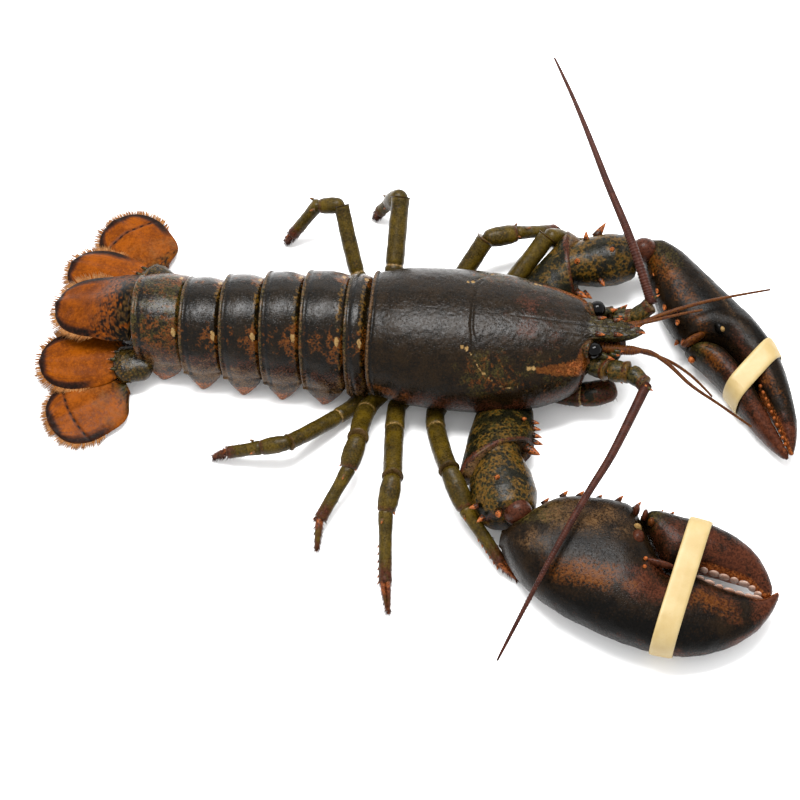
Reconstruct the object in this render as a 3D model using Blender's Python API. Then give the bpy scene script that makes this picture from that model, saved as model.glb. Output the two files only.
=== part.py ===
"""A whole raw American lobster with a rubber band round each claw, lying on its belly.

Lengths are written in millimetres and scaled to metres when a mesh is made. The animal's own
frame has X = 0 at the rear rim of the carapace, +X towards the head, +Y to the animal's left and
Z = 0 on the ground. SHIFT then moves every piece so that the origin lies under the middle of the
box round the whole animal.
"""

import math

import bmesh
import bpy
from mathutils import Vector

MM = 0.001
SHIFT = (-21.2, -0.8, 0.0)
GAP = 0.35
LEFT, RIGHT = 1, -1

# Colours of the fresh shell, as (red, green, blue), with the roughness of each surface.
SHELL_DARK = ((0.020, 0.014, 0.010), 0.28)
SHELL_BELLY = ((0.110, 0.055, 0.028), 0.40)
SHELL_OLIVE = ((0.075, 0.062, 0.022), 0.35)
TAIL_ORANGE = ((0.300, 0.085, 0.016), 0.35)
CLAW_DARK = ((0.028, 0.012, 0.009), 0.30)
FEELER_RED = ((0.085, 0.014, 0.008), 0.35)
EYE_BLACK = ((0.004, 0.004, 0.004), 0.08)
BAND_CREAM = ((0.860, 0.690, 0.330), 0.55)


# ---------------------------------------------------------------- shared helpers

def material(name, look):
    """A painted surface of one colour and roughness, shared by all that use the same name."""
    found = bpy.data.materials.get(name)
    if found:
        return found
    colour, roughness = look
    made = bpy.data.materials.new(name)
    made.use_nodes = True
    shader = made.node_tree.nodes["Principled BSDF"]
    shader.inputs["Base Color"].default_value = (*colour, 1.0)
    shader.inputs["Roughness"].default_value = roughness
    shader.inputs["Metallic"].default_value = 0.0
    return made


def blend(rows, count):
    """Resample rows of numbers, whose first column rises, to count rows on one smooth curve."""
    last = len(rows) - 1
    out = []
    for step in range(count):
        at = rows[0][0] + (rows[-1][0] - rows[0][0]) * step / (count - 1)
        i = max(k for k in range(last) if rows[k][0] <= at + 1e-9)
        before, here = rows[max(i - 1, 0)], rows[i]
        there, after = rows[i + 1], rows[min(i + 2, last)]
        span = there[0] - here[0]
        t = (at - here[0]) / span
        row = [at]
        for a, b, c, d in zip(before[1:], here[1:], there[1:], after[1:]):
            slope_in = (c - a) * span / (there[0] - before[0])
            slope_out = (d - b) * span / (after[0] - here[0])
            if (b - a) * (c - b) <= 0:
                slope_in = 0.0
            if (c - b) * (d - c) <= 0:
                slope_out = 0.0
            row.append(
                (2 * t**3 - 3 * t**2 + 1) * b
                + (t**3 - 2 * t**2 + t) * slope_in
                + (3 * t**2 - 2 * t**3) * c
                + (t**3 - t**2) * slope_out
            )
        out.append(row)
    return out


def round_power(value, power):
    return math.copysign(abs(value) ** (2.0 / power), value)


def oval(centre, side, up, width, height, sides, power=2.0):
    """A closed ring of points: a superellipse with half sizes width along side, height along up."""
    ring = []
    for k in range(sides):
        turn = 2 * math.pi * k / sides
        across = round_power(math.cos(turn), power) * width
        lift = round_power(math.sin(turn), power) * height
        ring.append(centre + side * across + up * lift)
    return ring


def finish(name, build, look):
    """Turn a bmesh into a named object with its faces outwards and its material."""
    bmesh.ops.recalc_face_normals(build, faces=build.faces)
    if build.calc_volume(signed=True) < 0:
        bmesh.ops.reverse_faces(build, faces=build.faces)
    mesh = bpy.data.meshes.new(name)
    build.to_mesh(mesh)
    build.free()
    mesh.shade_smooth()
    mesh.set_sharp_from_angle(angle=math.radians(40))
    mesh.materials.append(material(*look))
    made = bpy.data.objects.new(name, mesh)
    made.location = Vector(SHIFT) * MM
    bpy.context.scene.collection.objects.link(made)
    return made


def skin(build, rings):
    """Add rings of equal count to a bmesh, with a wall between each and the next."""
    rows = [[build.verts.new(point * MM) for point in ring] for ring in rings]
    for low, high in zip(rows, rows[1:]):
        for k in range(len(low)):
            n = (k + 1) % len(low)
            build.faces.new((low[k], low[n], high[n], high[k]))
    return rows


def shape(name, rings, look, tip=None, tail=None):
    """One closed solid through rings of equal count. tail and tip are the points that end it."""
    build = bmesh.new()
    rows = skin(build, rings)
    count = len(rings[0])
    for row, end in ((rows[0], tail), (rows[-1], tip)):
        if end is None:
            end = sum((vert.co for vert in row), Vector()) / count
        else:
            end = Vector(end) * MM
        pole = build.verts.new(end)
        for k in range(count):
            build.faces.new((row[k], row[(k + 1) % count], pole))
    return finish(name, build, look)


def hoop(name, rings, look):
    """A closed ring-shaped solid whose section passes through rings in turn."""
    build = bmesh.new()
    rows = skin(build, rings)
    first, last = rows[0], rows[-1]
    for k in range(len(first)):
        n = (k + 1) % len(first)
        build.faces.new((last[k], last[n], first[n], first[k]))
    return finish(name, build, look)


def combine(target, other, operation):
    """Unite other with target, or take it out of target, then drop other."""
    bpy.context.view_layer.update()
    step = target.modifiers.new("combine", "BOOLEAN")
    step.operation = operation
    step.object = other
    graph = bpy.context.evaluated_depsgraph_get()
    result = bpy.data.meshes.new_from_object(target.evaluated_get(graph))
    target.modifiers.clear()
    target.data = result
    bpy.data.objects.remove(other)


def frame_along(direction):
    """Side and up vectors square to a direction; up is as near to +Z as it can be."""
    forward = direction.normalized()
    side = Vector((0, 0, 1)).cross(forward)
    if side.length < 1e-3:
        side = Vector((0, 1, 0))
    side.normalize()
    return side, forward.cross(side)


# ---------------------------------------------------------------- carapace and belly

# Along X: half width, height of the widest level, height of the back, height of the lower rim.
CARAPACE = [
    (0.0, 29.5, 19.5, 43.2, 12.0),
    (16.0, 32.8, 19.2, 45.6, 11.5),
    (38.0, 34.3, 19.0, 46.4, 11.5),
    (58.0, 33.6, 19.0, 45.6, 12.5),
    (76.0, 30.0, 20.0, 44.0, 14.5),
    (88.0, 25.4, 21.6, 42.6, 17.0),
    (95.0, 20.8, 24.6, 41.9, 20.0),
    (98.0, 15.4, 28.0, 41.6, 25.0),
]
UNDERCUT = 20.0
SOCKET_CLEARANCE = 1.0
# How far the rear rim comes forward at the carapace's lower edge.
REAR_CURL = 4.5
# The beak between the eyes, in the same terms.
ROSTRUM = [
    (99.0, 5.0, 38.6, 41.8, 35.6),
    (106.0, 4.6, 38.7, 41.5, 36.5),
    (113.0, 3.2, 38.7, 40.6, 37.0),
    (119.0, 1.6, 39.0, 40.2, 38.0),
]
ROSTRUM_TIP = (122.8, -0.6, 39.6)


# The left eye from the foot of its stalk to the front of the ball.
EYE = [(96.0, 8.6, 36.8), (103.2, 10.8, 38.0)]
EYE_SIZES = [(0.0, 2.2, 2.2), (0.5, 3.0, 3.0), (1.0, 3.4, 3.4)]


def mirrored(points, side):
    return [Vector((x, y * side, z)) for x, y, z in points]


def hollow(target, points, sizes, sides):
    """Open a space in target for a piece that follows points, a little larger than the piece."""
    grown = [
        (part, width + SOCKET_CLEARANCE, height + SOCKET_CLEARANCE) for part, width, height in sizes
    ]
    combine(target, sweep("socket", points, grown, ("shell_dark", SHELL_DARK), sides, 8), "DIFFERENCE")


def carapace():
    sides = 22
    rings = []
    for x, width, level, top, floor in blend(CARAPACE, 11) + ROSTRUM:
        on_beak = x > CARAPACE[-1][0]
        depth = level - floor if on_beak else UNDERCUT
        ring = []
        for k in range(sides):
            turn = 2 * math.pi * k / sides
            y = math.cos(turn) * width
            rise = math.sin(turn)
            z = level + rise * (top - level if rise > 0 else depth)
            z = max(z, floor)
            curl = REAR_CURL * ((top - z) / (top - floor)) ** 2 * max(0.0, 1.0 - x / 30.0)
            ring.append(Vector((x + curl, y, z)))
        rings.append(ring)
    body = shape("carapace", rings, ("shell_dark", SHELL_DARK), tip=ROSTRUM_TIP)
    for side in (LEFT, RIGHT):
        root, hip, knee, _ = ARMS[side]
        hollow(body, [root, hip, knee], arm_sizes(side)[0], 12)
        eye = mirrored(EYE, side)
        hollow(body, [eye[0] - (eye[1] - eye[0]).normalized(), eye[1]], EYE_SIZES, 8)


# The breastplate that the legs spring from: X, half width, top height.
STERNUM = [(2.0, 8.0, 10.6), (7.0, 12.0, 11.0), (56.0, 12.0, 11.0), (68.0, 7.0, 12.0)]
STERNUM_FOOT = 0.8


def sternum():
    rings = []
    for x, width, top in STERNUM:
        low, foot = 1.2, width * STERNUM_FOOT
        outline = [(foot, 0.0), (width, low), (width, top - 1.0), (width - 1.5, top)]
        ring = [Vector((x, y, z)) for y, z in outline]
        ring += [Vector((x, -y, z)) for y, z in reversed(outline)]
        rings.append(ring)
    shape("sternum", rings, ("shell_belly", SHELL_BELLY))


# ---------------------------------------------------------------- abdomen and tail fan

# Each ring of the abdomen, first to sixth: rear X, front X, half width, back height,
# sideways place, X and height of the point of the side lobe.
ABDOMEN = [
    (-10.8, -0.8, 28.0, 42.6, 0.4, -5.6, 11.0),
    (-30.2, -10.8, 28.1, 44.2, 0.2, -21.5, 1.6),
    (-48.2, -30.2, 26.6, 43.2, -0.4, -40.5, 1.2),
    (-66.2, -48.2, 24.9, 40.6, -1.2, -58.0, 1.2),
    (-84.2, -66.2, 23.2, 37.0, -1.8, -76.5, 1.2),
    (-106.0, -84.2, 23.6, 34.6, 0.2, -95.0, 1.4),
]
# How far each ring's sides lie ahead of its back.
LEAN = 3.2
BELLY_LEVEL = 8.5
# What each ring keeps clear at either end.
RING_GAP = 0.28
WALL_LEVEL = 15.0


def abdomen_ring(number, rear, front, width, top, middle, tip_x, tip_z):
    """An arched ring with a pointed lobe hanging at each side and a flat belly between them."""
    reach = front - rear
    tip_at = (tip_x - rear) / reach
    notch = 14.0 if number > 1 else 13.0
    # Place along the ring, size of the arch, height of the lobe's lower edge.
    stations = [
        (0.0, 1.0, notch),
        (tip_at * 0.6, 0.995, max(notch * 0.4, tip_z)),
        (tip_at, 0.99, tip_z),
        (tip_at + 0.28, 0.975, max(notch * 0.42, tip_z)),
        (1.0, 0.955, notch - 1.0),
    ]
    taper = 0.86 if number == 6 else 1.0
    rings = []
    for at, size, low in stations:
        x = rear + RING_GAP + at * (reach - 2 * RING_GAP)
        shrink = size * (taper + (1 - taper) * at)
        ring = []
        for k in range(13):
            turn = math.pi * k / 12
            y = -math.cos(turn) * width * shrink
            z = WALL_LEVEL + math.sin(turn) * (top * size - WALL_LEVEL)
            ring.append(Vector((x + LEAN * (1 - math.sin(turn)), middle + y, z)))
        edge = width * shrink
        belly = BELLY_LEVEL + (2.5 if number == 1 else 0.0)
        inner = max(low + 3.0, belly)
        lobe = [(edge, low + 0.5), (edge - 2.0, low), (edge - 5.5, inner), (edge - 12.0, belly)]
        ring += [Vector((x + LEAN, middle + y, z)) for y, z in lobe]
        ring += [Vector((x + LEAN, middle - y, z)) for y, z in reversed(lobe)]
        rings.append(ring)
    shape(f"abdomen_{number}", rings, ("shell_dark", SHELL_DARK))


FAN_HINGE = Vector((-100.0, 1.0, 0.0))
FAN_YAW = math.radians(6.5)


def fan_point(back, out, z, side=LEFT):
    """A point of the tail fan: back from its hinge line, and out to one side."""
    rear = Vector((-math.cos(FAN_YAW), math.sin(FAN_YAW), 0.0))
    across = Vector((math.sin(FAN_YAW), math.cos(FAN_YAW), 0.0)) * side
    return FAN_HINGE + rear * back + across * out + Vector((0, 0, z))


def plate(name, root, end, rows, slope, look, sides=12):
    """A thin blade from root to end: rows of fraction, half width and half thickness.

    slope tips the blade about its length, so that one edge lies lower."""
    axis = end - root
    side, up = frame_along(axis)
    side = (side + up * slope).normalized()
    up = axis.normalized().cross(side)
    rings = [oval(root + axis * at, side, up, width, thick, sides, 2.3) for at, width, thick in rows]
    return shape(name, rings, look)


# The blades of the tail fan: fraction of the length, half width and half thickness.
TELSON = [
    (0.0, 18.0, 2.6),
    (0.3, 18.0, 2.2),
    (0.62, 17.2, 1.6),
    (0.85, 14.0, 1.1),
    (0.96, 8.5, 0.8),
    (1.0, 3.0, 0.5),
]
BLADE = [
    (0.0, 4.0, 1.4),
    (0.14, 10.0, 1.4),
    (0.36, 15.0, 1.2),
    (0.6, 16.0, 1.0),
    (0.82, 13.0, 0.8),
    (0.95, 7.4, 0.6),
    (1.0, 2.5, 0.4),
]
OUTER_BLADE = [(part, width * 1.12 if part else 3.4, thick) for part, width, thick in BLADE]


def tail_fan():
    look = ("tail_orange", TAIL_ORANGE)
    plate("telson", fan_point(7.4, 0.0, 23.8), fan_point(46.5, 0.5, 11.5), TELSON, 0.0, look, 14)
    for side, word in ((LEFT, "left"), (RIGHT, "right")):
        root, end = fan_point(9.5, 20.5, 10.5, side), fan_point(47.5, 27.5, 5.0, side)
        plate(f"uropod_inner_{word}", root, end, BLADE, 0.10 * side, look)
        root, end = fan_point(2.5, 31.8, 6.0, side), fan_point(34.5, 57.5, 2.2, side)
        plate(f"uropod_outer_{word}", root, end, OUTER_BLADE, 0.02 * side, look)
        route = [fan_point(-5.0, 25.2, 8.5, side), fan_point(8.0, 23.6, 9.5, side)]
        sizes = [(0.0, 3.0, 3.4), (1.0, 3.2, 3.2)]
        sweep(f"uropod_base_{word}", route, sizes, ("shell_olive", SHELL_OLIVE), 8, 6)


# ---------------------------------------------------------------- limbs

def along(points, distance):
    """The point and direction at a distance along a smooth curve through points."""
    rows = [(0.0, *points[0])]
    for before, here in zip(points, points[1:]):
        rows.append((rows[-1][0] + (here - before).length, *here))
    if len(rows) == 2:
        direction = (points[1] - points[0]).normalized()
        return points[0] + direction * distance, direction
    fine = [Vector(row[1:]) for row in blend(rows, 33)]
    step = rows[-1][0] / 32
    i = min(int(distance / step), 31)
    here, there = fine[i], fine[i + 1]
    ahead, behind = fine[min(i + 2, 32)], fine[max(i - 1, 0)]
    part = distance / step - i
    direction = (there - behind).lerp(ahead - here, part)
    return here.lerp(there, part), direction.normalized()


def path_length(points):
    return sum((b - a).length for a, b in zip(points, points[1:]))


def size_at(rows, part):
    """Straight-line reading of rows of fraction, half width and half height."""
    for (a, *low), (b, *high) in zip(rows, rows[1:]):
        if part <= b:
            return [p + (q - p) * (part - a) / (b - a) for p, q in zip(low, high)]
    return rows[-1][1:]


def sweep(name, points, sizes, look, sides=8, count=6, trims=(0.0, 0.0)):
    """A round-ended piece along a curve. sizes are rows of fraction, half width and half height."""
    points = [Vector(point) for point in points]
    whole = path_length(points)
    first, last = min(size_at(sizes, 0.0)), min(size_at(sizes, 1.0))
    start, stop = trims[0], whole - trims[1]
    inner = [start + first + (stop - last - start - first) * k / (count - 5) for k in range(count - 4)]
    places = [start + 0.14 * first, start + 0.55 * first, *inner, stop - 0.55 * last, stop - 0.14 * last]
    rings = []
    for at in places:
        width, height = size_at(sizes, at / whole)
        if at < start + first:
            rounding = math.sqrt(1 - (1 - (at - start) / first) ** 2)
            width, height = width * rounding, height * rounding
        if at > stop - last:
            rounding = math.sqrt(1 - (1 - (stop - at) / last) ** 2)
            width, height = width * rounding, height * rounding
        centre, direction = along(points, at)
        side, up = frame_along(direction)
        rings.append(oval(centre, side, up, width, height, sides))
    return shape(name, rings, look, tail=along(points, start)[0], tip=along(points, stop)[0])


def joint_trim(before, after, radius_before, radius_after):
    """How far two round-ended pieces stop short of their joint, so that they clear each other."""
    before, after = [Vector(point) for point in before], [Vector(point) for point in after]
    length, trim = path_length(before), 0.0
    while trim < radius_before:
        here = along(before, length - trim - radius_before)[0]
        there = along(after, trim + radius_after)[0]
        if (there - here).length >= radius_before + radius_after + GAP:
            break
        trim += 0.05
    return trim


def limb(names, routes, sizes, look, sides, counts):
    """Pieces that follow each other: each route starts where the one before it ends."""
    for i, (name, route, rows) in enumerate(zip(names, routes, sizes)):
        trims = [0.0, 0.0]
        if i > 0:
            trims[0] = joint_trim(routes[i - 1], route, min(sizes[i - 1][-1][1:]), min(rows[0][1:]))
        if i < len(names) - 1:
            trims[1] = joint_trim(route, routes[i + 1], min(rows[-1][1:]), min(sizes[i + 1][0][1:]))
        sweep(name, route, rows, look, sides, counts[i], trims)


# Walking legs, front to rear: root, hip, knee, end of the second piece, wrist and tip.
LEGS = {
    RIGHT: [
        [
            (40.0, -16.5, 5.2), (32.5, -31.0, 6.0), (41.5, -66.0, 20.0),
            (51.0, -83.0, 14.0), (66.4, -101.0, 6.0), (76.0, -108.0, 1.4),
        ],
        [
            (25.0, -16.5, 5.2), (15.0, -30.0, 6.0), (17.5, -73.0, 22.0),
            (16.0, -89.0, 16.0), (18.0, -114.0, 6.0), (21.0, -129.0, 1.4),
        ],
        [
            (12.5, -16.5, 5.2), (2.5, -30.0, 6.5), (0.4, -54.0, 20.0),
            (-3.0, -68.0, 14.0), (-13.0, -87.0, 6.0), (-13.0, -102.0, 1.4),
        ],
        [
            (4.0, -15.5, 4.2), (-6.0, -31.0, 4.4), (-30.0, -56.0, 14.0),
            (-44.0, -58.0, 10.0), (-57.0, -59.0, 6.0), (-64.0, -60.0, 1.4),
        ],
    ],
    LEFT: [
        [
            (46.0, 16.5, 5.2), (57.0, 33.0, 7.4), (76.0, 58.0, 22.0),
            (89.0, 63.0, 10.0), (103.0, 67.0, 4.0), (112.0, 70.0, 1.4),
        ],
        [
            (30.0, 16.5, 5.2), (36.0, 36.0, 7.4), (48.0, 54.0, 22.0),
            (63.0, 60.0, 20.0), (78.0, 70.0, 10.0), (83.0, 72.5, 1.4),
        ],
        [
            (15.0, 16.5, 5.2), (7.0, 35.0, 7.4), (7.2, 71.0, 25.0),
            (1.5, 75.5, 12.5), (-3.2, 75.0, 5.5), (-5.0, 74.0, 1.4),
        ],
        [
            (4.0, 15.5, 4.2), (-7.5, 34.0, 5.5), (-19.5, 64.0, 25.0),
            (-31.0, 65.0, 21.0), (-42.0, 58.0, 6.0), (-45.0, 56.5, 1.4),
        ],
    ],
}
# Half width and half height along the three pieces of a leg.
LEG_SIZES = [
    [(0.0, 3.5, 3.5), (0.5, 4.0, 4.0), (0.85, 4.0, 4.0), (1.0, 3.4, 3.4)],
    [(0.0, 3.2, 3.2), (0.6, 3.9, 3.9), (1.0, 3.0, 3.0)],
    [(0.0, 2.9, 2.9), (0.3, 3.0, 3.0), (0.6, 2.3, 2.3), (0.8, 1.5, 1.5), (1.0, 0.6, 0.6)],
]


def legs():
    for side, word in ((LEFT, "left"), (RIGHT, "right")):
        for number, (root, hip, knee, cuff, wrist, tip) in enumerate(LEGS[side], 1):
            names = [f"leg_{word}_{number}_{piece}" for piece in ("upper", "middle", "hand")]
            routes = [[root, hip, knee], [knee, cuff], [cuff, wrist, tip]]
            limb(names, routes, LEG_SIZES, ("shell_olive", SHELL_OLIVE), 7, (7, 6, 7))


# Claw arms: root under the head, hip, knee, and the wrist where the claw begins.
ARMS = {
    RIGHT: [(56.0, -18.5, 7.0), (63.5, -31.0, 9.5), (61.5, -58.0, 15.5), (70.0, -88.0, 16.0)],
    LEFT: [(60.0, 18.5, 7.0), (73.5, 29.5, 10.5), (88.5, 46.5, 17.5), (118.0, 54.0, 18.0)],
}
ARM_SIZES = [
    [(0.0, 5.5, 5.0), (0.3, 12.5, 7.5), (0.6, 14.5, 11.0), (0.85, 14.0, 12.0), (1.0, 11.5, 11.0)],
    [(0.0, 10.5, 10.0), (0.45, 14.6, 13.6), (0.8, 13.2, 12.8), (1.0, 8.0, 9.0)],
]
LEFT_SLIMMER = 0.8


def arm_sizes(side):
    """The left arm, which carries the slimmer claw, is slimmer at its root."""
    if side == RIGHT:
        return ARM_SIZES
    upper = [(part, width * LEFT_SLIMMER, height * LEFT_SLIMMER) for part, width, height in ARM_SIZES[0]]
    return [upper, ARM_SIZES[1]]


def arms():
    for side, word in ((LEFT, "left"), (RIGHT, "right")):
        root, hip, knee, wrist = ARMS[side]
        names = [f"claw_{word}_arm", f"claw_{word}_wrist"]
        routes = [[root, hip, knee], [knee, wrist]]
        limb(names, routes, arm_sizes(side), ("shell_olive", SHELL_OLIVE), 12, (8, 8))


# Claws, in their own frame: s runs from the wrist to the point, t to the left of that line.
# Rows are s, lower t, upper t, underside and top.
CLAW_ORIGIN = {RIGHT: Vector((69.0, -89.0, 0.0)), LEFT: Vector((122.0, 55.0, 0.0))}
CLAW_HEADING = {RIGHT: math.radians(-10.2), LEFT: math.radians(-53.8)}
CRUSHER_PALM = [
    (-1.5, -9.5, -3.0, 10.0, 20.0),
    (2.5, -14.0, 0.5, 5.5, 24.5),
    (9.0, -21.0, 9.0, 2.5, 28.5),
    (18.0, -27.5, 17.5, 0.9, 31.0),
    (32.0, -33.5, 21.5, 0.2, 32.5),
    (46.0, -37.2, 22.5, 0.2, 33.0),
    (57.0, -39.0, 20.0, 0.9, 32.5),
    (64.0, -39.9, 8.0, 2.0, 31.0),
    (72.0, -40.0, -5.6, 2.8, 28.5),
    (84.0, -38.6, -5.4, 3.0, 26.0),
    (94.0, -34.8, -6.6, 3.0, 23.5),
    (104.0, -28.2, -5.8, 4.4, 21.0),
    (111.5, -20.5, -4.2, 6.4, 18.5),
    (116.5, -12.0, -2.0, 8.8, 16.5),
    (119.0, -4.5, 1.0, 11.0, 14.5),
]
CRUSHER_FINGER = [
    (59.0, 17.3, 20.8, 13.0, 22.0),
    (64.0, 9.4, 21.8, 6.0, 28.5),
    (72.0, -3.6, 21.4, 4.2, 29.5),
    (84.0, -3.4, 21.0, 4.0, 28.0),
    (94.0, -3.0, 19.8, 4.6, 25.5),
    (103.0, -2.2, 16.8, 5.8, 22.5),
    (110.0, -1.6, 12.4, 7.6, 19.5),
    (114.8, -0.6, 6.0, 9.6, 16.5),
]
CUTTER_PALM = [
    (-5.0, -1.0, 5.5, 13.0, 22.0),
    (0.0, -2.5, 10.5, 8.0, 25.0),
    (8.0, -5.0, 14.0, 4.0, 26.5),
    (20.0, -9.0, 16.8, 0.8, 27.0),
    (34.0, -11.4, 19.2, 0.2, 27.0),
    (46.0, -11.6, 21.5, 0.5, 26.5),
    (51.0, -4.0, 22.2, 0.9, 26.0),
    (56.0, 2.2, 22.6, 1.4, 25.5),
    (66.0, 4.0, 22.6, 2.2, 24.5),
    (78.0, 4.8, 21.0, 2.3, 22.5),
    (90.0, 3.8, 17.4, 2.0, 19.5),
    (101.0, 2.8, 12.6, 3.0, 16.5),
    (109.0, 1.6, 8.0, 4.4, 13.5),
    (114.2, 0.6, 3.0, 6.4, 10.5),
]
CUTTER_FINGER = [
    (49.5, -10.6, -7.0, 8.0, 18.0),
    (54.0, -10.2, -1.4, 4.4, 22.5),
    (60.0, -9.4, 2.2, 3.2, 23.0),
    (72.0, -8.0, 3.4, 2.6, 22.0),
    (84.0, -7.6, 3.2, 2.6, 19.5),
    (95.0, -7.0, 2.0, 2.8, 16.5),
    (105.0, -5.8, 1.0, 3.4, 13.5),
    (112.0, -4.2, 0.2, 4.6, 11.0),
    (115.6, -2.4, -0.2, 6.0, 9.2),
]
CLAW_POWER = 2.25


def claw_rings(side, rows, sides, grow=0.0):
    """Rings across a claw. grow moves each one outwards."""
    heading = CLAW_HEADING[side]
    forward = Vector((math.cos(heading), math.sin(heading), 0.0))
    across = Vector((-forward.y, forward.x, 0.0))
    rings = []
    for s, low, high, under, top in rows:
        centre = CLAW_ORIGIN[side] + forward * s + across * (low + high) / 2
        centre.z = (under + top) / 2
        up = Vector((0, 0, 1))
        width, height = (high - low) / 2 + grow, (top - under) / 2 + grow
        rings.append(oval(centre, across, up, width, height, sides, CLAW_POWER))
    return rings


def claws():
    look = ("claw_dark", CLAW_DARK)
    shape("claw_right_palm", claw_rings(RIGHT, CRUSHER_PALM, 16), look)
    shape("claw_right_finger", claw_rings(RIGHT, CRUSHER_FINGER, 14), look)
    shape("claw_left_palm", claw_rings(LEFT, CUTTER_PALM, 16), look)
    shape("claw_left_finger", claw_rings(LEFT, CUTTER_FINGER, 14), look)


# ---------------------------------------------------------------- bands

# A band's middle along its claw, its half width, and how far that middle shifts for each
# millimetre across the claw.
BAND_MIDDLE = {RIGHT: 78.9, LEFT: 77.6}
BAND_SKEW = {RIGHT: 0.05, LEFT: -0.3}
BAND_HALF_WIDTH = 5.1
BAND_THICK = 0.9
BAND_CLEARANCE = 0.45
BAND_SIDES = 26
CLAW_ROWS = {RIGHT: (CRUSHER_PALM, CRUSHER_FINGER), LEFT: (CUTTER_PALM, CUTTER_FINGER)}


def hug(side, middle, grow):
    """The ring of points of a stretched band round a claw, grow outside its section at middle."""
    heading = CLAW_HEADING[side]
    forward = Vector((math.cos(heading), math.sin(heading), 0.0))
    across = Vector((-forward.y, forward.x, 0.0))
    met = []
    for rows in CLAW_ROWS[side]:
        rings = claw_rings(side, rows, 16)
        for k in range(16):
            line = [ring[k] - CLAW_ORIGIN[side] for ring in rings]
            for a, b in zip(line, line[1:]):
                off_a = a.dot(forward) - BAND_SKEW[side] * a.dot(across) - middle
                off_b = b.dot(forward) - BAND_SKEW[side] * b.dot(across) - middle
                if off_a <= 0 < off_b:
                    point = a.lerp(b, off_a / (off_a - off_b))
                    met.append((point.dot(across), point.z))
    turns = [2 * math.pi * k / BAND_SIDES for k in range(BAND_SIDES + 1)]
    reach = [max(t * math.cos(a) + z * math.sin(a) for t, z in met) + grow for a in turns]
    ring = []
    for a, b, far_a, far_b in zip(turns, turns[1:], reach, reach[1:]):
        t = (far_a * math.sin(b) - far_b * math.sin(a)) / math.sin(b - a)
        z = (far_b * math.cos(a) - far_a * math.cos(b)) / math.sin(b - a)
        s = middle + BAND_SKEW[side] * t
        ring.append(CLAW_ORIGIN[side] + forward * s + across * t + Vector((0, 0, z)))
    return ring


def bands():
    for side, word in ((LEFT, "left"), (RIGHT, "right")):
        low, high = BAND_MIDDLE[side] - BAND_HALF_WIDTH, BAND_MIDDLE[side] + BAND_HALF_WIDTH
        inner = [hug(side, low, BAND_CLEARANCE), hug(side, high, BAND_CLEARANCE)]
        grow = BAND_CLEARANCE + BAND_THICK
        outer = [hug(side, low, grow), hug(side, high, grow)]
        hoop(f"claw_{word}_band", [inner[0], outer[0], outer[1], inner[1]], ("band_cream", BAND_CREAM))


# ---------------------------------------------------------------- head

ANTENNA_BASE = {
    RIGHT: [(100.5, -12.0, 29.0), (108.0, -16.0, 31.0), (117.0, -17.5, 33.5), (124.0, -24.0, 34.5)],
    LEFT: [(100.5, 13.5, 26.5), (108.5, 13.0, 28.0), (116.8, 12.4, 29.2), (124.3, 17.4, 35.5)],
}
ANTENNA = {
    RIGHT: [
        (124.0, -24.0, 34.5), (111.0, -62.0, 39.0), (102.5, -81.0, 40.0),
        (88.0, -113.0, 35.5), (69.3, -151.0, 12.0),
    ],
    LEFT: [
        (124.3, 17.4, 35.5), (113.0, 45.0, 43.5), (98.0, 81.5, 44.0),
        (83.5, 122.5, 38.0), (72.2, 152.7, 31.0),
    ],
}
# Each antennule's long lash with its stem, then the short lash that branches from it.
ANTENNULE = {
    RIGHT: [
        [
            (99.3, -5.0, 32.0), (113.0, -6.0, 33.0), (122.5, -5.6, 33.0), (132.0, -9.2, 31.0),
            (144.0, -17.0, 26.0), (157.5, -22.3, 20.0), (172.5, -27.5, 12.0),
        ],
        [(119.0, -5.8, 33.0), (132.0, -7.0, 29.5), (143.5, -11.2, 25.0), (154.0, -18.5, 20.0)],
    ],
    LEFT: [
        [
            (99.3, 4.6, 32.5), (110.0, 4.2, 33.6), (119.5, 7.6, 34.0), (128.0, 12.6, 34.0),
            (145.5, 21.5, 33.0), (161.0, 27.5, 32.0), (177.0, 33.0, 31.0),
        ],
        [(117.0, 6.8, 34.0), (126.0, 9.6, 34.6), (135.0, 13.5, 34.0), (147.0, 17.5, 34.0)],
    ],
}
MAXILLIPED = [
    (69.3, 5.4, 6.5), (76.0, 9.5, 6.5), (86.0, 15.0, 8.0), (100.0, 17.0, 11.0), (112.0, 14.5, 14.0),
]


ANTENNA_BASE_SIZES = [(0.0, 4.0, 4.0), (0.4, 4.4, 4.4), (0.75, 3.4, 3.4), (1.0, 2.6, 2.6)]
ANTENNA_SIZES = [(0.0, 2.4, 2.4), (0.1, 2.1, 2.1), (0.5, 1.4, 1.4), (1.0, 0.5, 0.5)]
ANTENNULE_SIZES = [(0.0, 2.2, 2.2), (0.22, 1.8, 1.8), (0.3, 1.0, 1.0), (1.0, 0.5, 0.5)]
BRANCH_SIZES = [(0.0, 0.9, 0.9), (1.0, 0.5, 0.5)]
MAXILLIPED_SIZES = [(0.0, 3.4, 3.4), (0.5, 5.0, 5.0), (0.8, 4.2, 4.2), (1.0, 2.4, 2.4)]


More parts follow.
